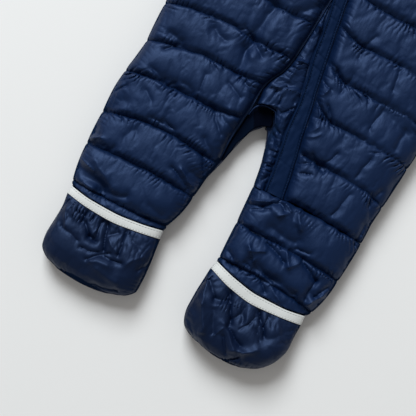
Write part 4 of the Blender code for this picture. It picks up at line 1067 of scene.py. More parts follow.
def front_panels():
    left_round = (SCENE_ROUND_LEFT, SCENE_ROUND)
    return [
        quilted_panel("front_right", rows_from(FRONT_RIGHT) + neck_rows(-1), columns=78,
                      side=-1, zip_from=8, rise=(-1, -1, 4.45, 7.8), seed=11,
                      rounds=(SCENE_ROUND, SCENE_ROUND_INSEAM)),
        quilted_panel("front_left_outer", rows_from(FRONT_LEFT_OUTER) + neck_rows(1),
                      columns=66, side=1, zip_from=3, seed=23, rounds=left_round,
                      flatter=0.5),
        quilted_panel("front_left_lower", rows_from(FRONT_LEFT_LOWER), columns=66, side=1,
                      zip_from=math.inf, seed=37, rounds=left_round),
        quilted_panel("front_left_inner", rows_from(FRONT_LEFT_INNER), columns=14, side=-1,
                      zip_from=3, rise=(0, 1, 4.95, 7.8), valley=INNER_VALLEY,
                      puff=INNER_PUFF, pressure=0.5, seed=41),
    ]


def foot_panels():
    """Upper halves of the feet: row 0 to 1 lies under the ankle's tape, 7 is the toe."""
    panels = []
    for name, table, side, seed in (("right", FOOT_TOP_RIGHT, -1, 53),
                                    ("left", FOOT_TOP_LEFT, 1, 67)):
        rows = [dict(zip(FOOT_ROW, line)) for line in table]
        for row in rows:
            row["shelf"] = abs(row["x_out"] - row["x_in"]) / 60
        places = np.concatenate((np.linspace(0, 1, TAPE_ROWS + 1)[:-1],
                                 np.linspace(1, TOE_Q, TOE_ROWS)))
        points = fine_points(rows, FOOT_COLUMNS, places)
        start, end = edge_distance(points)
        crown = (arc(start / ROUND_OPEN) * arc(end / ROUND_OPEN)) ** 0.8
        height = EDGE + (columns_of(rows, "h_mid", places)[:, None] - EDGE) * crown
        panels.append(Panel(
            "foot_top_" + name, points, np.clip(places, 1, TOE_Q) / 6 + 5 / 6, height, crown,
            pins(height.shape, taped(places)), side, np.full((len(places), 2), RIM_INSET),
            gather=0.9, seed=seed, reach=2, facets=FOOT_FACETS, tape=places))
    return panels


# -------------------------------------------------------------- other pieces
STITCH = 2.1              # length of a stitch,
STITCH_STEP = 3.0         # from one to the next,
STITCH_THICK = 0.5        # and thickness of the thread
FLAP_START = ZIP_LINE[0][0] + 0.6
FLAP_END = 377.0
FLAP_CROWN = 0.6          # how much higher the flap is in its middle
FLAP_ROUND = 1.5          # how much of its thickness its edges round off
FLAP_GROOVE = 0.8         # half width of the groove at a stitched line
FLAP_SEAMS = ((-1, 2.8), (1, 1.6))    # side of a stitched line, and how far inside it is
FLAP_CREASES = (
    # y,  slant, depth
    (-31, -0.2, 0.25), (39, -0.3, 0.25), (67, -0.25, 0.6), (80, -0.3, 0.8),
    (118, -0.2, 0.5), (130, -0.3, 0.7), (151, 0.2, 0.25), (204, -0.2, 0.5),
    (262, 0.2, 0.3),
)
ZIP_TAPE = 5.4            # top of the zip's tape above the layer line
TAPE_EDGE = 0.5           # how much lower the tape is at its sides and at the coil
COIL_TURN = 1.5           # from one turn of the zip's coil to the next
COIL_STEPS = 8
COIL_SIZE = (1.2, 0.75, 0.35)     # half its width and height, and half its thread
TAPE_STITCH = 1.5         # from an ankle tape's edge to its stitched line
TAPE_ROUND = 0.6          # how much of its thickness an ankle tape's edge rounds off
GUSSET_EDGE, GUSSET_TOP = 2.6, 4.6
GUSSET_ROUND = 1.6        # how far in its edges round up
BINDING_HALF = 0.75       # half the binding's thickness
BINDING = (
    # x,    y,    height: bound edge of the opening at the crotch
    (-13.4, -4, 8.6), (-12.1, 2.7, 9.4), (-8.6, 8.3, 9.6), (-0.7, 11.6, 9.6),
    (7.9, 11, 9.6), (12, 5, 9.2), (14.6, -0.2, 8.6),
)
WINDOW_LEFT = -8.5        # left of this the gusset is of cloth in shade
SOLE_START = (5.2, 5.8)   # a sole starts this much lower, outside and inside
TOE_ROUND = 1.6           # rows over which its toe rounds down
RIM_DEPTH = 4.0           # depth of the lower pieces' open edges,
RIM_ROUND = 10.0          # and how far in they round down
GROOVE = 2.6              # depth of a stitched line under the garment,
GROOVE_WIDE = 2.6         # and half its width
OPEN_Q = 4.4              # the inseam is open below this row
SLEEVE_PLACES = np.linspace(0, 5, 81)
CUFF_ROWS = 15            # rings of points along a cuff
CUFF_RIBS = 46            # gathers around it
CUFF_RIB = 0.7            # and half their height
CUFF_SQUARE = 0.8         # how round a cuff is across: 1 is an ellipse, less is squarer
COLLAR_SHELF_Y = 350      # its shelf is as wide as the front's shelf is here


def band(name, grid, thick, flip=False):
    """Closed strip: a shaped grid over a copy of itself that lies lower."""
    rows, columns = grid.shape[:2]
    low = grid.copy()
    low[..., 2] -= thick * MM
    count = rows * columns
    index = np.arange(count).reshape(rows, columns)
    faces = [tuple(q) for q in grid_faces(rows, columns)]
    faces += [tuple(q + count)[::-1] for q in grid_faces(rows, columns)]
    rim = np.concatenate((index[0, :-1], index[:-1, -1], index[-1, :0:-1], index[:0:-1, 0]))
    for a, b in zip(rim, np.roll(rim, -1)):
        faces.append((b, a, a + count, b + count))
    if flip:
        faces = [f[::-1] for f in faces]
    return new_mesh(name, np.concatenate((grid.reshape(-1, 3), low.reshape(-1, 3))), faces,
                    SHARP)


def tubes(name, paths, radius, sides=5):
    """Round threads along paths of equally many points, all in one object."""
    paths = np.asarray(paths, float)
    count, points = paths.shape[:2]
    ahead = np.gradient(paths, axis=1)
    ahead = ahead / np.maximum(np.linalg.norm(ahead, axis=2, keepdims=True), 1e-9)
    side = np.cross(ahead, (0.0, 0.0, 1.0))
    side = side / np.maximum(np.linalg.norm(side, axis=2, keepdims=True), 1e-9)
    up = np.cross(side, ahead)
    turn = 2 * math.pi * np.arange(sides) / sides
    ring = (np.cos(turn)[None, None, :, None] * side[:, :, None]
            + np.sin(turn)[None, None, :, None] * up[:, :, None]) * radius * MM
    vertices = paths[:, :, None] + ring
    index = np.arange(count * points * sides).reshape(count, points, sides)
    nxt = np.roll(index, -1, axis=2)
    quads = np.stack((index[:, 1:], nxt[:, 1:], nxt[:, :-1], index[:, :-1]), axis=-1)
    faces = [*quads.reshape(-1, 4), *index[:, 0], *index[:, -1, ::-1]]
    return new_mesh(name, vertices, faces)


def stitch_paths(line, start=1.5, lift=0.1):
    """Paths of the stitches along a line of points in metres."""
    step = np.linalg.norm(np.diff(line, axis=0), axis=1)
    along = np.concatenate(((0,), np.cumsum(step))) / MM
    paths = []
    for s in np.arange(start, along[-1] - STITCH - start, STITCH_STEP):
        at = s + STITCH * np.array((0, 0.25, 0.75, 1.0))
        path = np.column_stack([np.interp(at, along, line[:, k]) for k in range(3)])
        path[:, 2] += (lift + STITCH_THICK * np.array((-0.9, 0.35, 0.35, -0.9))) * MM
        paths.append(path)
    return paths


def panel_stitches(panel):
    """Stitches of every quilting line of a panel."""
    paths = []
    for row, q in zip(panel.grid, panel.places):
        inside = 0.01 < q - panel.places[0] and 0.01 < panel.places[-1] - q
        if whole(q) and inside:
            paths += stitch_paths(row[2:-2])
    return tubes(panel.name + "_stitches", paths, STITCH_THICK / 2)


def zip_flap():
    """Folded flap: rounded long edges, a stitched line near each, faint creases."""
    y = np.linspace(FLAP_START, FLAP_END, 440)
    x, half = read(ZIP_LINE, y).T
    x = x + 0.25 * noise(0 * y, y, 9, 69)
    w = np.sin(np.linspace(-math.pi / 2, math.pi / 2, 31))
    points = np.stack((x[:, None] + half[:, None] * w, y[:, None] + 0 * w), axis=-1)
    edge = (1 - np.abs(w)) * half[:, None]
    top = FLAP_LIFT + FLAP_THICK
    height = top - FLAP_ROUND * (1 - arc(edge / 1.8)) + FLAP_CROWN * (1 - w[None, :] ** 2)
    lively = np.where(w < 0, 1, 0.6)[None, :]
    soft = noise(points[..., 0], points[..., 1], 21, 71)
    fine = noise(2 * points[..., 0], points[..., 1], 6, 73)
    height += (0.5 * soft + 0.5 * fine * lively) * arc(edge / 3)
    paths = []
    for side, place in FLAP_SEAMS:
        inside = (w * side > 0)[None, :]
        height -= bell(edge - place, FLAP_GROOVE) * inside
        height += 0.65 * bell(edge - 0.5 * place, FLAP_GROOVE) * inside
        line = np.column_stack((x + side * (half - place), y))
        z = top + FLAP_CROWN * (1 - (1 - place / half) ** 2) - 0.45
        paths += stitch_paths(world(line, z))
    for place, slant, depth in FLAP_CREASES:
        away = y[:, None] - place - slant * (points[..., 0] - x[:, None])
        height -= depth * bell(away, 1.2) * arc(edge / 3)
    thing = band("zip_flap_cloth", world(points, height), FLAP_THICK - FLAP_ROUND)
    return thing, tubes("zip_flap_stitches", paths, STITCH_THICK / 2), points


def zip_path(y_0, y_1, step):
    """Places along the zip and the direction across it."""
    y = np.arange(y_0, y_1, step)
    x = read(ZIP_LINE, y)[:, 0]
    across = np.column_stack((np.ones(len(y)), -np.gradient(x, y)))
    return np.column_stack((x, y)), across / np.linalg.norm(across, axis=1, keepdims=True)


def zip_strip():
    """The zip: a woven tape on each side and the closed coil between them."""
    points, across = zip_path(FLAP_START, FLAP_END, 2)
    w = np.array((-1, -0.93, -0.5, -0.42, 0, 0.42, 0.5, 0.93, 1))
    grid = points[:, None] + across[:, None] * (ZIP_HALF * w)[None, :, None]
    height = ZIP_TAPE - TAPE_EDGE * ((np.abs(w) > 0.99) | (np.abs(w) < 0.45))
    thing = band("zip_strip_tape", world(grid, np.broadcast_to(height, grid.shape[:2])),
                 ZIP_TAPE - 0.6 - GAP)
    middle, side = zip_path(FLAP_START + 1, FLAP_END - 1, COIL_TURN / COIL_STEPS)
    turn = 2 * math.pi * np.arange(len(middle)) / COIL_STEPS
    wide, high, thread = COIL_SIZE
    coil = world(middle + side * (wide * np.cos(turn))[:, None],
                 ZIP_TAPE + 0.6 + high * np.sin(turn))
    return thing, tubes("zip_strip_coil", coil[None], thread)


def ankle_tape(panel):
    """Ribbed tape over the top edge of a foot, with a stitched line at each edge."""
    inside = np.flatnonzero(taped(panel.tape))
    low, high = panel.grid[inside[0]], panel.grid[inside[-1]]
    v = np.array((0, 0.02, 0.06, 0.12, 0.2, 0.3, 0.4, 0.5, 0.6, 0.7, 0.8, 0.88, 0.94,
                  0.98, 1))
    grid = low[None] + (high - low)[None] * v[:, None, None]
    wide = np.linalg.norm(high - low, axis=1) / MM
    edge = np.minimum(v, 1 - v)[:, None] * wide[None, :]
    lift = (GAP + TAPE_THICK - TAPE_ROUND * (1 - arc(edge))
            - 0.3 * bell(edge - TAPE_STITCH, 0.5))
    x, y = grid[..., 0] / MM, grid[..., 1] / MM
    lift = lift + 0.12 * noise(x, y, 9, panel.seed + 31) * arc(edge / 3)
    grid[..., 2] += lift * MM
    name = panel.name.replace("foot_top", "ankle_tape")
    thing = band(name + "_cloth", grid, TAPE_THICK - TAPE_ROUND, panel.flip)
    paths = []
    for share in (TAPE_STITCH / wide.mean(), 1 - TAPE_STITCH / wide.mean()):
        line = low + (high - low) * share
        line[:, 2] += (GAP + TAPE_THICK - 0.2) * MM
        paths += stitch_paths(line)
    return thing, tubes(name + "_stitches", paths, STITCH_THICK / 2), grid[..., :2] / MM


def gusset():
    """Plain strip that turns down at the crotch, and the bound edge of its opening."""
    rows = rows_from(CROTCH_GUSSET)
    places = np.linspace(rows[0]["q"], rows[-1]["q"], 60)
    points = fine_points(rows, 22, places)
    start, end = edge_distance(points)
    rim = arc(start / GUSSET_ROUND) * arc(end / GUSSET_ROUND)
    height = GUSSET_EDGE + (GUSSET_TOP - GUSSET_EDGE) * rim
    height += 0.35 * noise(points[..., 0], points[..., 1], 6, 97) * rim
    inset = np.full((len(places), 2), 0.3)
    thing = close_grid("crotch_gusset_cloth", world(points, height), UNDER, inset, False)
    line = smooth(np.linspace(0, 1, len(BINDING)), BINDING, np.linspace(0, 1, 60))
    path = world(line[:, :2], line[:, 2])
    return thing, points, tubes("crotch_gusset_binding", path[None],
                                BINDING_HALF)


def flat_bottom(points, open_out, open_in):
    """Depth of a lower wall: flat at the floor, rounded at its open edges."""
    start, end = edge_distance(points)
    rim = np.minimum(*(1 - (1 - arc(away / RIM_ROUND)) * share[:, None]
                       for away, share in ((start, open_out), (end, open_in))))
    return RIM_DEPTH + (LAYER - RIM_DEPTH) * rim, rim


def lower_points(rows, places, open_out, open_in, side=0, columns=36):
    """Points of a lower wall, closer together at its edges.

    rows: q, x_out, y_out, x_in, y_in. side is -1 or 1 for a back half, whose
    upper edges are put on their seams.
    """
    ends = read(rows, places).reshape(-1, 2, 2)
    if side:
        seam = CENTRE_X + side * GAP / 2
        ends[:, 1, 0] = side * np.maximum(side * ends[:, 1, 0], side * seam)
        place_edges(ends, places, side, BACK_DROP,
                    lambda q, y: seam if q > OPEN_Q else None)
    out, inner = ends[:, 0], ends[:, 1]
    width = np.linalg.norm(inner - out, axis=1)
    sides = np.array((0, 0.4, 1.2, 2.4, 4.2, 6.6, 10.0))[None, :] / width[:, None]
    share = np.arange(1, columns + 1)[None, :] / (columns + 1)
    between = sides[:, -1:] + (1 - 2 * sides[:, -1:]) * share
    f = np.concatenate((sides, between, 1 - sides[:, ::-1]), axis=1)
    points = out[:, None] + (inner - out)[:, None] * f[..., None]
    return swell(points, open_out, open_in, lobe(places))


def grooves(points, places, rim, seed):
    """Depth that the stitched lines and their gathers take off a lower wall."""
    x, y = points[..., 0], points[..., 1]
    t = np.abs(places - np.round(places))[:, None] * CHANNEL
    line = bell(t, GROOVE_WIDE)
    puckers = bell(t, 9) * 0.5 * noise(x, 3 * y, 5, seed)
    return rim * (GROOVE * line + puckers * (1 - line) + 0.25 * (1 + noise(x, y, 16, seed + 1)))


def lower_piece(node, points, depth, side):
    """Node, object and points of a piece whose wall looks down."""
    flip = (side > 0) == (points[0, 0, 1] > points[-1, 0, 1])
    grid = world(points, -np.minimum(depth, LAYER))
    inset = np.full((len(points), 2), RIM_INSET)
    return node, close_grid(node + "_cloth", grid, OVER, inset, flip), points


def back_rows(table, front, side):
    """Rows of a back half, from the ankle to the shoulder and neck."""
    rows = list(table)
    middle = CENTRE_X + side * GAP / 2
    for q, y in ((5, 15), (5.5, 36), (6, 56), (7, 97), (8, 139), (9, 180), (10, 221),
                 (PIT_Q, PIT_Y)):
        x_out = float(columns_of(rows_from(front), "x_out", [q])[0])
        rows.append((q, x_out, y, middle, y + 2))
    keys = ("q", "x_out", "y_out", "x_in", "y_in")
    return rows + [tuple(row[key] for key in keys) for row in neck_rows(side, BACK_DROP)]


def backs():
    """Back halves, each from its ankle to its shoulder."""
    made = []
    for name, table, front, side, seed in (
            ("back_right", BACK_RIGHT_LEG, FRONT_RIGHT, -1, 131),
            ("back_left", BACK_LEFT_LEG, FRONT_LEFT_OUTER, 1, 137)):
        rows = back_rows(table, front, side)
        places = fine_places([r[0] for r in rows], [(r[2] + r[4]) / 2 for r in rows])
        opened = (places < PIT_Q).astype(float), (places < OPEN_Q).astype(float)
        points = lower_points(rows, places, *opened, side)
        depth, rim = flat_bottom(points, *opened)
        depth = depth - grooves(points, places, rim, seed)
        made.append(lower_piece(name, points, depth, side))
    return made


def foot_soles():
    """Lower halves of the feet, bowed at the toe and puckered at the ankle."""
    made = []
    for name, table, side, seed in (("foot_sole_right", FOOT_TOP_RIGHT, -1, 139),
                                    ("foot_sole_left", FOOT_TOP_LEFT, 1, 149)):
        rows = [dict(zip(FOOT_ROW, line)) for line in table]
        outline = [(r["q"], r["x_out"], r["y_out"], r["x_in"], r["y_in"]) for r in rows]
        _, x_out, y_out, x_in, y_in = outline[0]
        outline[0] = (SOLE_Q, x_out, y_out - SOLE_START[0], x_in, y_in - SOLE_START[1])
        places = np.linspace(SOLE_Q, TOE_Q, 50)
        every = np.ones(len(places))
        points = lower_points(outline, places, every * 0, every * 0)
        bow = smooth([r["q"] for r in rows],
                     [r["y_2"] - (r["y_out"] + r["y_in"]) / 2 for r in rows], places)
        f = np.linspace(-1, 1, points.shape[1])
        points[..., 1] += (bow * ramp(places, 4, TOE_Q))[:, None] * (1 - f ** 2)[None, :]
        depth, rim = flat_bottom(points, every, every)
        toe = RIM_DEPTH + (LAYER - RIM_DEPTH) * arc((TOE_Q - places) / TOE_ROUND)
        x, y = points[..., 0], points[..., 1]
        pull = 0.9 * bell(places - SOLE_Q, 1.2)[:, None] * (1 + noise(2 * x, y / 3, 9, seed))
        soft = 0.3 * (1 + noise(x, y, 14, seed))
        depth = np.minimum(depth, toe[:, None]) - rim * (pull + soft)
        made.append(lower_piece(name, points, depth, side))
    return made


def sleeve_point(s, up, side):
    """Pattern point at s along the sleeve and up across it."""
    turn = math.radians(SLEEVE_TURN)
    x = SLEEVE_START[0] - s * math.sin(turn) - up * math.cos(turn)
    y = SLEEVE_START[1] - s * math.cos(turn) + up * math.sin(turn)
    return on_side((x, y), side)


def sleeve_seam(places, side):
    """Points of the armhole seam, from 0 at the shoulder to 1 at the armpit."""
    return on_side([armhole(1 - f) for f in places] - np.array((0.5, 0)), side)


def sleeve_grid(side, columns, places):
    """Points of a sleeve, its first row along the armhole."""
    u = np.linspace(0, 1, columns)
    seam = sleeve_seam(u, side)
    grid = [seam]
    for _, s_up, up, s_low, low in SLEEVE:
        ends = (s_up + (s_low - s_up) * u, up + (low - up) * u)
        grid.append(np.array([sleeve_point(s, w, side) for s, w in zip(*ends)]))
    return smooth(range(len(grid)), grid, places)


def sleeve_panels():
    """Upper halves of the sleeves."""
    panels = []
    for name, side, seed in (("right", -1, 151), ("left", 1, 157)):
        points = sleeve_grid(side, 48, SLEEVE_PLACES)
        edge = np.full(len(points), EDGE)
        edge[0] = SEAM
        points = swell(points, openness(edge), openness(edge), lobe(SLEEVE_PLACES))
        height, crown = quilted_heights(points, SLEEVE_PLACES + 1, edge, edge,
                                        SLEEVE_VALLEY, SLEEVE_PUFF, 0)
        pinned = pins(height.shape, whole(SLEEVE_PLACES))
        inset = np.full((len(points), 2), RIM_INSET)
        panel = Panel("sleeve_top_" + name, points, SLEEVE_PLACES, height, crown, pinned,
                      side, inset, seed=seed)
        panel.flip = side < 0
        panels.append(panel)
    return panels


def sleeve_unders():
    """Lower halves of the sleeves, which meet the upper ones at both edges."""
    made = []
    for name, side, seed in (("right", -1, 163), ("left", 1, 167)):
        middle = sleeve_grid(side, 3, SLEEVE_PLACES)
        rows = [(q, *line[0], *line[-1]) for q, line in zip(SLEEVE_PLACES, middle)]
        every = np.ones(len(rows))
        points = lower_points(rows, SLEEVE_PLACES, every, every, columns=18)
        first = points[0] - points[0, 0]
        share = np.linalg.norm(first, axis=1) / np.linalg.norm(first[-1])
        points[0] = sleeve_seam(np.clip(share, 0, 1), side)
        depth, rim = flat_bottom(points, every, every)
        depth = depth - grooves(points, SLEEVE_PLACES, rim, seed)
        made.append(lower_piece("sleeve_under_" + name, points, depth, side))
    return made


def cuff(name, side):
    """Flattened tube of gathered cloth over elastic, open through its middle."""
    around = CUFF_RIBS * 6
    turn = 2 * math.pi * np.arange(around) / around
    along = np.linspace(CUFF[0][0], CUFF[-1][0], CUFF_ROWS)
    profile = smooth([r[0] for r in CUFF], [r[1:] for r in CUFF], along)
    loops = []
    for k, (s, size) in enumerate(zip(along, profile)):
        end = arc((k + 0.6) / 2.5) * arc((CUFF_ROWS - 0.4 - k) / 2.5)
        rib = CUFF_RIB * np.cos(CUFF_RIBS * turn + 0.8 * math.sin(0.7 * k)) * end
        loops.append((s, *(size[:, None] - (1 - end) + rib - CUFF_RIB)))
    inside = (CUFF[0][1] - CUFF_SLOT[0] - 2, CUFF_SLOT[1])
    loops += [(s, *inside) for s in along[::-4]]
    vertices = []
    for s, wide, high in loops:
        across, lift = (np.sign(f) * np.abs(f) ** CUFF_SQUARE
                        for f in (np.cos(turn), np.sin(turn)))
        place = np.array([sleeve_point(s, a + CUFF_OFFSET, side) for a in across * wide])
        vertices.append(world(place, lift * high))
    count = len(loops)
    index = np.arange(count * around).reshape(count, around)
    nxt, across = np.roll(index, -1, axis=0), np.roll(index, -1, axis=1)
    both = np.roll(nxt, -1, axis=1)
    quads = np.stack((index, across, both, nxt), axis=-1).reshape(-1, 4)
    return new_mesh(name + "_cloth", np.array(vertices), quads[:, ::side])


def collar_pieces():
    """Short stand collar, lying flat above the neck: a back and two fronts."""
    places = np.linspace(0, 1, 16)
    every = np.ones(len(places))

    def neck_edge(w, drop):
        return np.array([neckline(f, drop) for f in w]) + (0, GAP + 0.2)

    w = np.linspace(-1, 1, 70)
    low = neck_edge(abs(w), BACK_DROP)
    low[w > 0] = on_side(low[w > 0], 1)
    top = np.column_stack((CENTRE_X + COLLAR_HALF * w, np.full(len(w), COLLAR_Y)))
    points = smooth([0, 1], [low, top], places)
    depth, rim = flat_bottom(points, every, every)
    end = RIM_DEPTH + (LAYER - RIM_DEPTH) * arc((1 - places) / 0.3)
    depth = np.minimum(depth, end[:, None])
    depth = depth - 0.5 * rim * (1 + noise(points[..., 0], points[..., 1], 14, 173))
    back = close_grid("collar_back_cloth", world(points, -depth), OVER,
                      np.full((len(places), 2), RIM_INSET), True)
    panels = []
    zip_edge = CENTRE_X - ZIP_HALF - GAP
    w = np.linspace(1, (CENTRE_X - zip_edge) / NECK_HALF, 44)
    low = neck_edge(w, FRONT_DROP)
    high = np.column_stack((CENTRE_X - (COLLAR_HALF - 1) * w,
                            NECK_Y + 6 + (COLLAR_Y - NECK_Y - 8) * w ** 2))
    high[-1, 0] = zip_edge
    ledge = shelf(COLLAR_SHELF_Y)
    for name, side, seed in (("right", -1, 179), ("left", 1, 181)):
        line = smooth([0, 1], on_side((low, high), side), places)
        height, crown = quilted_heights(line, places + 1, every * EDGE, every * SEAM,
                                        COLLAR_VALLEY, COLLAR_PUFF,
                                        np.full((len(places), 1), ledge))
        pinned = pins(height.shape, [0, -1], edge_distance(line)[1] < ledge)
        inset = np.column_stack((every * RIM_INSET, every * 0))
        panels.append(Panel("collar_front_" + name, line, places, height, crown, pinned,
                            side, inset, pressure=0.5, seed=seed))
    return (("collar_back", back, points),), panels
# ------------------------------------------------------------------ materials
WHITE, BLUE, VIOLET = (1.0, 1.0, 1.0), (0.34, 0.53, 1.0), (0.2, 0.45, 1.0)
CREASE_SHAPE = (1.0, 0.42, 1.0)    # creases run along the body, across its channels
CLOTH_WEAVE = (900, 0.12, 0.0001)
NYLON = dict(tint=BLUE, sheen_tint=VIOLET, creases=(250, 0.3, 0.0014), weave=CLOTH_WEAVE)
DULL = dict(tint=BLUE, sheen_tint=VIOLET, spread=0.1, weave=CLOTH_WEAVE)
FINE_CREASES = (210, 0.5, 0.0014)
THREAD_WEAVE = (2500, 0.4, 0.0001)
FINISHES = (
    ("navy_shell", (0.0004, 0.0068, 0.0335), 0.55, 0.55, NYLON),
    ("navy_foot", (0.0002, 0.0036, 0.0195), 0.54, 0.5, NYLON),
    ("navy_flap", (0.0026, 0.0098, 0.036), 0.55, 0.12,
     dict(DULL, spread=0.12, creases=(190, 0.4, 0.0012), weave=(900, 0.2, 0.0001))),
    # near black, a painted shade: the crotch opening lies turned down in the shadow of the legs
    ("navy_gusset", (0.0007, 0.0014, 0.0048), 0.85, 0.06,
     dict(DULL, creases=(90, 0.3, 0.001), weave=(900, 0.2, 0.0001))),
    # matte copy of the navy cloth at open edges: no reflection, and a lighter colour that
    # stands in for the sheen, a painted sheen
    ("navy_turned", (0.005, 0.013, 0.038), 0.8, 0.0, dict(DULL, creases=FINE_CREASES)),
    ("navy_shade", (0.0026, 0.0060, 0.0165), 0.85, 0.0, dict(DULL, creases=FINE_CREASES)),
    ("navy_cuff", (0.0034, 0.0115, 0.043), 0.5, 0.25, dict(NYLON, sheen=0.06)),
    ("navy_thread", (0.005, 0.014, 0.045), 0.6, 0.3,
     dict(DULL, sheen=0.1, weave=THREAD_WEAVE)),
    ("pale_tape", (0.62, 0.645, 0.64), 0.42, 0.4,
     dict(spread=0.03, creases=(240, 0.25, 0.0004), weave=(620, 0.35, 0.00015))),
    ("pale_thread", (0.55, 0.575, 0.58), 0.6, 0.3, dict(spread=0.03, weave=THREAD_WEAVE)),
    ("zip_tape", (0.006, 0.009, 0.02), 0.85, 0.15,
     dict(spread=0.1, weave=(800, 0.6, 0.0002))),
    ("zip_coil", (0.006, 0.008, 0.014), 0.38, 0.45,
     dict(spread=0.08, creases=(900, 0.1, 0.0001))),
    ("pale_floor", (0.80, 0.81, 0.81), 0.9, 0.12, dict(spread=0.004)),
)


def finish(name, colour, roughness, specular, tint=WHITE, sheen=0.0, sheen_tint=WHITE,
           spread=0.18, creases=(), weave=()):
    """Cloth or thread: uneven colour and gloss, with bumps from creases and weave.

    creases and weave: scale, strength and depth in metres of each bump.
    """
    made = bpy.data.materials.new(name)
    made.use_nodes = True
    nodes, links = made.node_tree.nodes, made.node_tree.links
    shader = nodes["Principled BSDF"]
    for key, value in (("Metallic", 0), ("Specular IOR Level", specular),
                       ("Specular Tint", tint + (1,)), ("Sheen Weight", sheen),
                       ("Sheen Roughness", 0.4), ("Sheen Tint", sheen_tint + (1,))):
        shader.inputs[key].default_value = value
    place = nodes.new("ShaderNodeTexCoord").outputs["Object"]
    long = nodes.new("ShaderNodeMapping")
    long.inputs["Scale"].default_value = CREASE_SHAPE
    links.new(place, long.inputs["Vector"])

    def texture(kind, scale, where=place, **values):
        node = nodes.new(kind)
        for key, value in dict(values, Scale=scale).items():
            node.inputs[key].default_value = value
        links.new(where, node.inputs["Vector"])
        return node.outputs["Fac"]

    broad = texture("ShaderNodeTexNoise", 28, Detail=4)
    mix = nodes.new("ShaderNodeMix")
    mix.data_type = "RGBA"
    for key, share in ((6, 1 - spread), (7, 1 + spread)):
        mix.inputs[key].default_value = tuple(share * v for v in colour) + (1,)
    links.new(broad, mix.inputs["Factor"])
    links.new(mix.outputs[2], shader.inputs["Base Color"])
    gloss = nodes.new("ShaderNodeMapRange")
    gloss.inputs["To Min"].default_value = roughness - 0.06
    gloss.inputs["To Max"].default_value = roughness + 0.06
    links.new(broad, gloss.inputs["Value"])
    links.new(gloss.outputs["Result"], shader.inputs["Roughness"])

    normal = None
    for kind, sizes, where, values in (
            ("ShaderNodeTexNoise", creases, long.outputs["Vector"], {"Detail": 5}),
            ("ShaderNodeTexWave", weave, place, {"Distortion": 0.5})):
        if not sizes:
            continue
        scale, strength, depth = sizes
        bump = nodes.new("ShaderNodeBump")
        bump.inputs["Strength"].default_value = strength
        bump.inputs["Distance"].default_value = depth
        links.new(texture(kind, scale, where, **values), bump.inputs["Height"])
        if normal:
            links.new(normal, bump.inputs["Normal"])
        normal = bump.outputs["Normal"]
    if normal:
        links.new(normal, shader.inputs["Normal"])
    return made


# --------------------------------------------------------------------- scene
PHOTO_CENTRE = (-6.35, -104.8)    # pattern point in the middle of the view
PHOTO_TURN = 27.5                 # degrees from the pattern's axes to the picture's
VIEW_WIDTH = 416.0
VIEW_PLANE = 13.0                 # height at which the view is that wide
LENS = 85.0
SENSOR = 36.0
VIEW_CENTRE = Vector(((PHOTO_CENTRE[0] - CENTRE_X) * MM, (PHOTO_CENTRE[1] - CENTRE_Y) * MM, 0))
KEY_LIGHT = (-0.13, 1.0, 0.88)    # direction to it: right, up and out of the picture
KEY_DISTANCE, KEY_SIZE, KEY_POWER = 4.6, 2.1, 230
FLOOR_HALF = 3.0


def set_camera():
    """The photograph's view: straight down, and turned."""
    data = bpy.data.cameras.new("camera")
    data.lens, data.sensor_width = LENS, SENSOR
    data.clip_start, data.clip_end = 0.01, 20.0
    camera = bpy.data.objects.new("camera", data)
    bpy.context.scene.collection.objects.link(camera)
    camera.location = VIEW_CENTRE
    camera.location.z = (VIEW_WIDTH * LENS / SENSOR + VIEW_PLANE) * MM
    camera.rotation_euler = (0, 0, math.radians(PHOTO_TURN))
    bpy.context.scene.camera = camera


def set_light():
    """A soft square light, given in the picture's own axes, and a pale surrounding."""
    studio = bpy.data.worlds.new("studio")
    bpy.context.scene.world = studio
    studio.use_nodes = True
    back = studio.node_tree.nodes["Background"]
    back.inputs["Color"].default_value = (1.0, 0.965, 0.93, 1)
    back.inputs["Strength"].default_value = 0.32
    data = bpy.data.lights.new("key", "AREA")
    data.shape, data.size, data.energy = "SQUARE", KEY_SIZE, KEY_POWER
    data.color = (0.97, 1.0, 1.02)
    lamp = bpy.data.objects.new("key", data)
    bpy.context.scene.collection.objects.link(lamp)
    turn = Matrix.Rotation(math.radians(PHOTO_TURN), 3, "Z")
    away = (turn @ Vector(KEY_LIGHT)).normalized()
    lamp.location = VIEW_CENTRE + away * KEY_DISTANCE
    lamp.rotation_euler = (-away).to_track_quat("-Z", "Y").to_euler()


def set_floor(look):
    """The pale surface that the suit lies on."""
    corners = [(x * FLOOR_HALF, y * FLOOR_HALF, 0)
               for x, y in ((-1, -1), (1, -1), (1, 1), (-1, 1))]
    floor = new_mesh("floor", corners, [(0, 1, 2, 3)])
    floor.data.materials.append(look)


# ------------------------------------------------------------------ assembly
TAPE_TURNED = 2.0         # turned in at the edges of an ankle tape
EASE = 1.03               # cut length of quilted cloth for each unit of plain length
CUFF_CUT = 4.3            # cut round a cuff for each unit of its half width
PICTURE_RIGHT = (0.887, 0.462)    # the photograph's own direction to the right
BELOW = (
    # start of the node's name, what it lies on; its own side follows a last "_"
    ("front_right", "back_right"), ("foot_top", "foot_sole_"),
    ("sleeve_top", "sleeve_under_"), ("collar_front", "collar_back"), ("", "back_"),
)
SLOTS = (
    # start of the node's name, slot
    # the crotch gusset's slot is near black, a painted shade
    ("foot", "navy_foot"), ("zip_flap", "navy_flap"), ("crotch", "navy_gusset"),
    ("cuff", "navy_cuff"), ("ankle", "pale_tape"), ("zip_strip", "zip_tape"),
    ("", "navy_shell"),
)


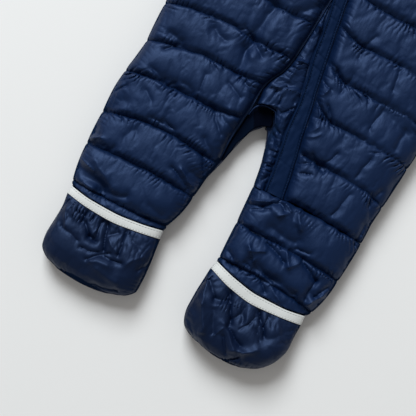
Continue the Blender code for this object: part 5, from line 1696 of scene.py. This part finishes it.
def cut(points, ease=1.0, turn=0.0):
    """Width, length and area in metres of the cloth that a piece is cut from."""
    a = math.radians(turn)
    x = points[..., 0] * math.cos(a) + points[..., 1] * math.sin(a)
    y = points[..., 1] * math.cos(a) - points[..., 0] * math.sin(a)
    one = points[1:, 1:] - points[:-1, :-1]
    two = points[1:, :-1] - points[:-1, 1:]
    area = np.abs(one[..., 0] * two[..., 1] - one[..., 1] * two[..., 0]).sum() / 2
    return dict(flat=(float(np.ptp(x)) * ease * MM, float(np.ptp(y)) * ease * MM),
                area=float(area) * (ease * MM) ** 2)


def sleeve_turn(node):
    """Degrees by which a sleeve's own length is turned out of the page's."""
    if not node.startswith("sleeve"):
        return 0
    return SLEEVE_TURN if node.endswith("left") else -SLEEVE_TURN


def dress(thing, node, finishes, size, extras=()):
    """Put a piece in the place of its node, with its finish and slot; size is not used."""
    slot = next(s for start, s in SLOTS if node.startswith(start))
    thing.data.materials.append(finishes[slot])
    for piece, look in ((thing, slot), *extras):
        if piece is not thing:
            piece.data.materials.append(finishes[look])
        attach(piece, "root")
    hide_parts(node)


def strip_size(points, turned=0.0):
    """Cut of a strip whose rows run across it, with the width that is turned in."""
    middle = points.mean(axis=1)
    length = np.linalg.norm(np.diff(middle, axis=0), axis=1).sum()
    width = np.linalg.norm(points[:, -1] - points[:, 0], axis=1).mean()
    return dict(flat=(float(width + turned) * MM, float(length) * MM))


def main():
    """Make every piece, put it in the place of its node, and set the scene."""
    finishes = {look[0]: finish(*look[:-1], **look[-1]) for look in FINISHES}
    quilted, feet, sleeves = front_panels(), foot_panels(), sleeve_panels()
    collar_back, collar = collar_pieces()
    panels = quilted + feet + sleeves + collar
    simulate(panels)
    for panel in panels:
        panel.finish()
    for panel in panels:
        node = panel.name
        thing = close_grid(node + "_cloth", panel.grid, UNDER, panel.inset, panel.flip)
        extras = []
        if panel in quilted or panel in sleeves:
            extras = [(panel_stitches(panel), "navy_thread")]
        below = next(lower for start, lower in BELOW if node.startswith(start))
        if below.endswith("_"):
            below += "right" if "_right" in node else "left"
        dress(thing, node, finishes, cut(panel.points, EASE, sleeve_turn(node)),
              extras)
        if panel in quilted or panel in feet:
            # faces at open edges get the matte copy whose lighter colour is a painted sheen
            thing.data.materials.append(finishes["navy_turned"])
            marks = turned_faces(panel, len(thing.data.polygons))
            thing.data.polygons.foreach_set("material_index", marks)
    for panel in feet:
        thing, stitches, points = ankle_tape(panel)
        dress(thing, panel.name.replace("foot_top", "ankle_tape"), finishes,
              strip_size(points.transpose(1, 0, 2), TAPE_TURNED),
              [(stitches, "pale_thread")])
    flap, stitches, points = zip_flap()
    dress(flap, "zip_flap", finishes, strip_size(points),
          [(stitches, "navy_thread")])
    tape, coil = zip_strip()
    dress(tape, "zip_strip", finishes, None, extras=[(coil, "zip_coil")])
    # the gusset is painted shade: near black in its opening, darker navy (navy_shade) left of
    # WINDOW_LEFT
    thing, points, binding = gusset()
    dress(thing, "crotch_gusset", finishes, cut(points),
          [(binding, "navy_shell")])
    thing.data.materials.append(finishes["navy_shade"])
    for face in thing.data.polygons:
        place = (face.center.x / MM + CENTRE_X, face.center.y / MM + CENTRE_Y)
        face.material_index = int(np.dot(PICTURE_RIGHT, place) < WINDOW_LEFT)
    for node, thing, points in [*backs(), *foot_soles(), *sleeve_unders(), *collar_back]:
        dress(thing, node, finishes, cut(points, EASE, sleeve_turn(node)))
    for name, side in (("right", -1), ("left", 1)):
        thing = cuff("cuff_" + name, side)
        flat = (CUFF_CUT * CUFF[1][1] * MM, (CUFF[-1][0] - CUFF[0][0]) * MM)
        dress(thing, "cuff_" + name, finishes, dict(flat=flat))
    set_camera()
    set_light()
    set_floor(finishes["pale_floor"])
    bpy.context.scene.view_settings.view_transform = "Standard"


main()
